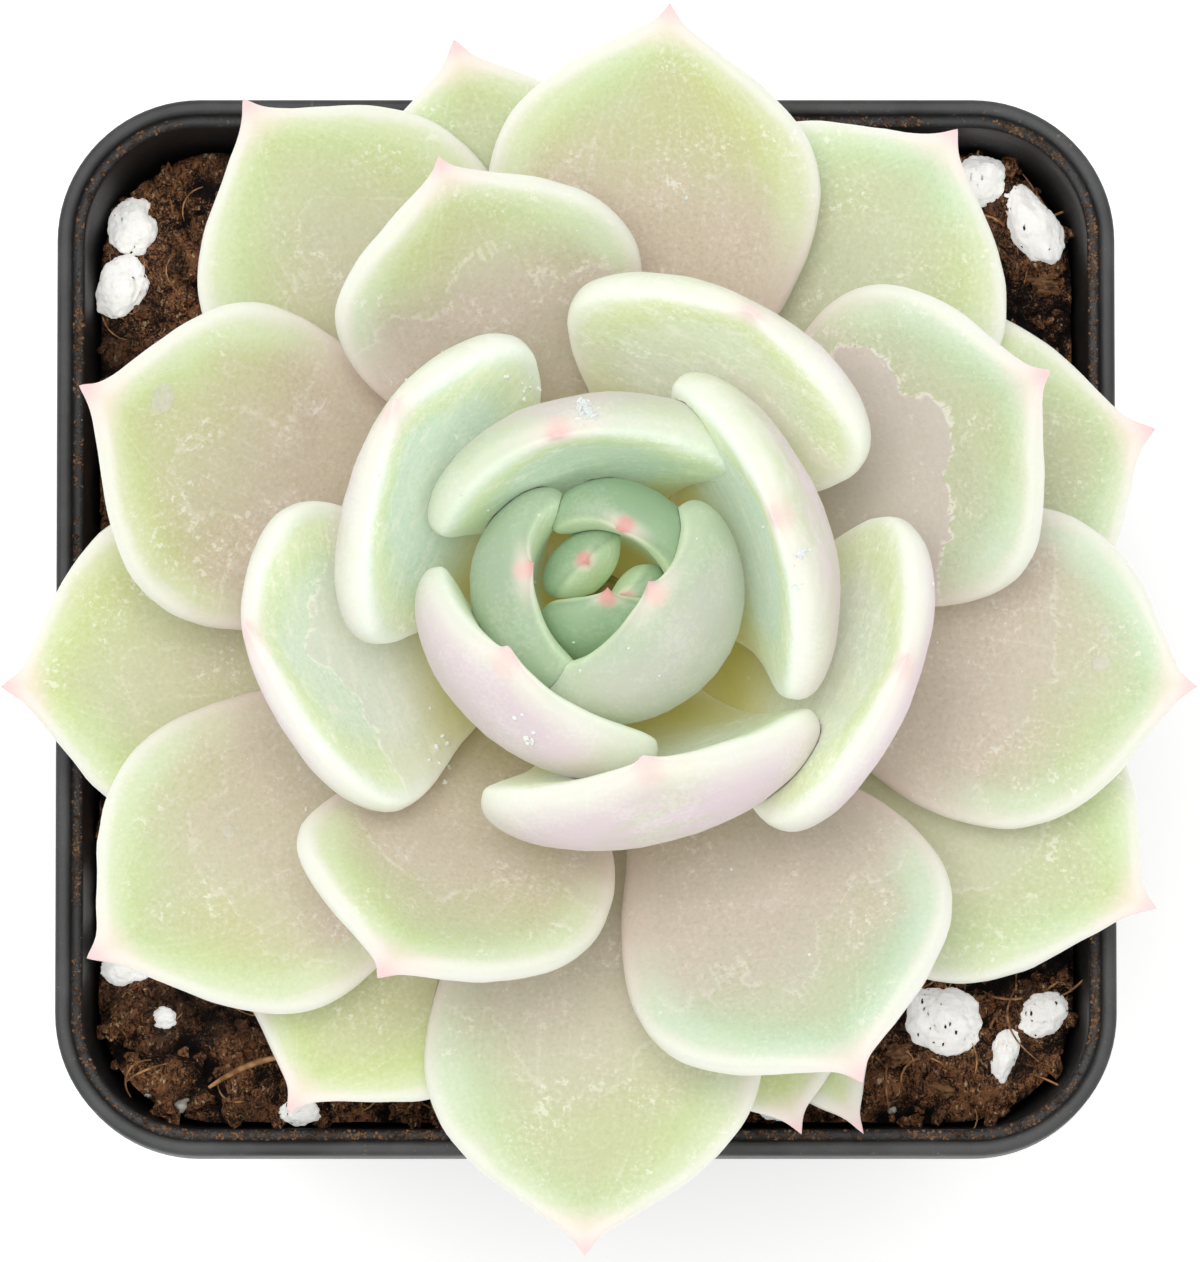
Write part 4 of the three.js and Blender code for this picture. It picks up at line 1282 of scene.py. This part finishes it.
class ECHEVERIA_OT_stem(Operator):
    """Spins the stem from its profile and joins the main roots to it"""

    bl_idname = "echeveria.stem"
    bl_label = "Stem and roots"

    def execute(self, context):
        heights = np.linspace(STEM_PROFILE[0][0], STEM_PROFILE[-1][0], 60)
        radii = along_rows(STEM_PROFILE, heights)
        line = [(0, 0, heights[0])] + [(r, 0, z) for r, z in zip(radii, heights)] + [(0, 0, heights[-1])]
        stem = from_faces("stem_and_roots", line, [])
        stem.data.edges.add(len(line) - 1)
        stem.data.edges.foreach_set("vertices", [i for k in range(len(line) - 1) for i in (k, k + 1)])
        stem.data.update()
        only(stem)
        bpy.ops.object.mode_set(mode="EDIT")
        bpy.ops.mesh.select_all(action="SELECT")
        bpy.ops.mesh.spin(steps=40, angle=math.tau, center=(0, 0, 0), axis=(0, 0, 1), use_auto_merge=True)
        bpy.ops.mesh.select_all(action="SELECT")
        bpy.ops.mesh.remove_doubles(threshold=0.01 * MM)
        bpy.ops.object.mode_set(mode="OBJECT")
        place(stem, coordinates(stem) + (CROWN.x, CROWN.y, 0))
        face_out(stem)
        for index in range(ROOT_COUNT):
            root = strands("root", [self.root(math.tau * index / ROOT_COUNT)])
            apply(stem, "BOOLEAN", operation="UNION", object=root, solver="MANIFOLD")
            bpy.data.objects.remove(root)
        uneven(stem, 0.12, 3)
        green = straw("stem_skin", linear(150, 146, 108), linear(188, 184, 146))
        finished(smooth(stem, 50), green, "stem_skin", "stem")
        return {"FINISHED"}

    def root(self, azimuth):
        """One main root, from inside the stem's foot down and out through the peat."""
        route = []
        for share in np.linspace(0, 0.97, 16):
            out = ROOT_REACH * math.sin(1.4 * share)
            drop = (ROOT_DEPTH + 3) * share**1.3
            route.append((CROWN.x + out * math.cos(azimuth), CROWN.y + out * math.sin(azimuth), 39 - drop))
        return strand(route, 1.1, 12)


# Stage.


class ECHEVERIA_OT_stage(Operator):
    """Lays the floor and sets the lamps and the camera over the plant"""

    bl_idname = "echeveria.stage"
    bl_label = "Stage"

    def execute(self, context):
        looks = context.scene.echeveria_stage
        floor = added("floor", bpy.ops.mesh.primitive_plane_add, size=20, location=(0, 0, 0))
        glow = (0.95, 0.95, 0.95, 1)
        f = Finish("floor_paint", Specular_IOR_Level=0.2, Emission_Color=glow, Emission_Strength=GLOW_STRENGTH)
        tint = f.mix(looks.floor, linear(248, 248, 247), f.noise(30, detail=2))
        floor.data.materials.append(f.finish(Base_Color=tint, Roughness=0.7 + 0.1 * f.noise(8)))

        power = looks.soft_light
        self.lamp("key", (-0.1, 0.12, 0.95), 0.55, power, (1, 0.985, 0.96))
        self.lamp("left_fill", (-0.5, 0.4, 0.65), 0.7, power * 0.2, (0.97, 0.98, 1))
        self.lamp("right_fill", (0.45, -0.5, 0.65), 0.7, power * 0.34, (1, 0.99, 0.97))

        world = context.scene.world or bpy.data.worlds.new("sky")
        context.scene.world = world
        world.use_nodes = True
        sky = world.node_tree.nodes["Background"]
        sky.inputs["Color"].default_value = (1, 1, 1, 1)
        sky.inputs["Strength"].default_value = looks.sky_light

        aim = Vector((0.85, -0.3, 58)) * MM
        back = Vector((0, -math.cos(looks.elevation), math.sin(looks.elevation)))
        fresh()
        bpy.ops.object.camera_add(location=aim + back * looks.distance)
        camera = context.object
        camera.rotation_euler = (-back).to_track_quat("-Z", "Y").to_euler()
        camera.data.lens = looks.lens
        camera.data.sensor_width = 36
        camera.data.clip_end = 10
        context.scene.camera = camera
        context.scene.view_settings.view_transform = "Standard"
        return {"FINISHED"}

    def lamp(self, name, place_, size, power, tint):
        """A square soft lamp that points at the plant."""
        fresh()
        bpy.ops.object.light_add(type="AREA", location=place_)
        lamp = bpy.context.object
        lamp.name = name
        lamp.data.size = size
        lamp.data.energy = power
        lamp.data.color = tint
        lamp.rotation_euler = (Vector((0, 0, 0.06)) - Vector(place_)).to_track_quat("-Z", "Y").to_euler()


# Add-on.


class ECHEVERIA_PT_panel(Panel):
    """Sizes, colours and steps of the potted plant"""

    bl_label = "Potted lola echeveria"
    bl_idname = "ECHEVERIA_PT_panel"
    bl_space_type = "VIEW_3D"
    bl_region_type = "UI"
    bl_category = "Echeveria"

    def draw(self, context):
        layout = self.layout
        for key, steps in STEPS.items():
            box = layout.box()
            settings = getattr(context.scene, key)
            for name in settings.__annotations__:
                box.prop(settings, name)
            for step in steps:
                box.operator(step.bl_idname)


GROUPS = {
    "echeveria_pot": PotSizes,
    "echeveria_soil": SoilSizes,
    "echeveria_leaf": LeafLooks,
    "echeveria_stage": StageLooks,
}
STEPS = {
    "echeveria_pot": (ECHEVERIA_OT_pot,),
    "echeveria_soil": (ECHEVERIA_OT_soil, ECHEVERIA_OT_grains, ECHEVERIA_OT_litter),
    "echeveria_leaf": (ECHEVERIA_OT_stem, ECHEVERIA_OT_leaves, ECHEVERIA_OT_marks),
    "echeveria_stage": (ECHEVERIA_OT_stage,),
}
CLASSES = (*GROUPS.values(), *(step for steps in STEPS.values() for step in steps), ECHEVERIA_PT_panel)


def register():
    for each in CLASSES:
        bpy.utils.register_class(each)
    for key, group in GROUPS.items():
        setattr(bpy.types.Scene, key, PointerProperty(type=group))


def unregister():
    for key in GROUPS:
        delattr(bpy.types.Scene, key)
    for each in reversed(CLASSES):
        bpy.utils.unregister_class(each)


def main():
    register()
    bpy.ops.echeveria.pot()
    bpy.ops.echeveria.soil()
    bpy.ops.echeveria.grains()
    bpy.ops.echeveria.litter()
    bpy.ops.echeveria.stem()
    bpy.ops.echeveria.leaves()
    bpy.ops.echeveria.marks()
    bpy.ops.echeveria.stage()


if __name__ == "__main__":
    main()
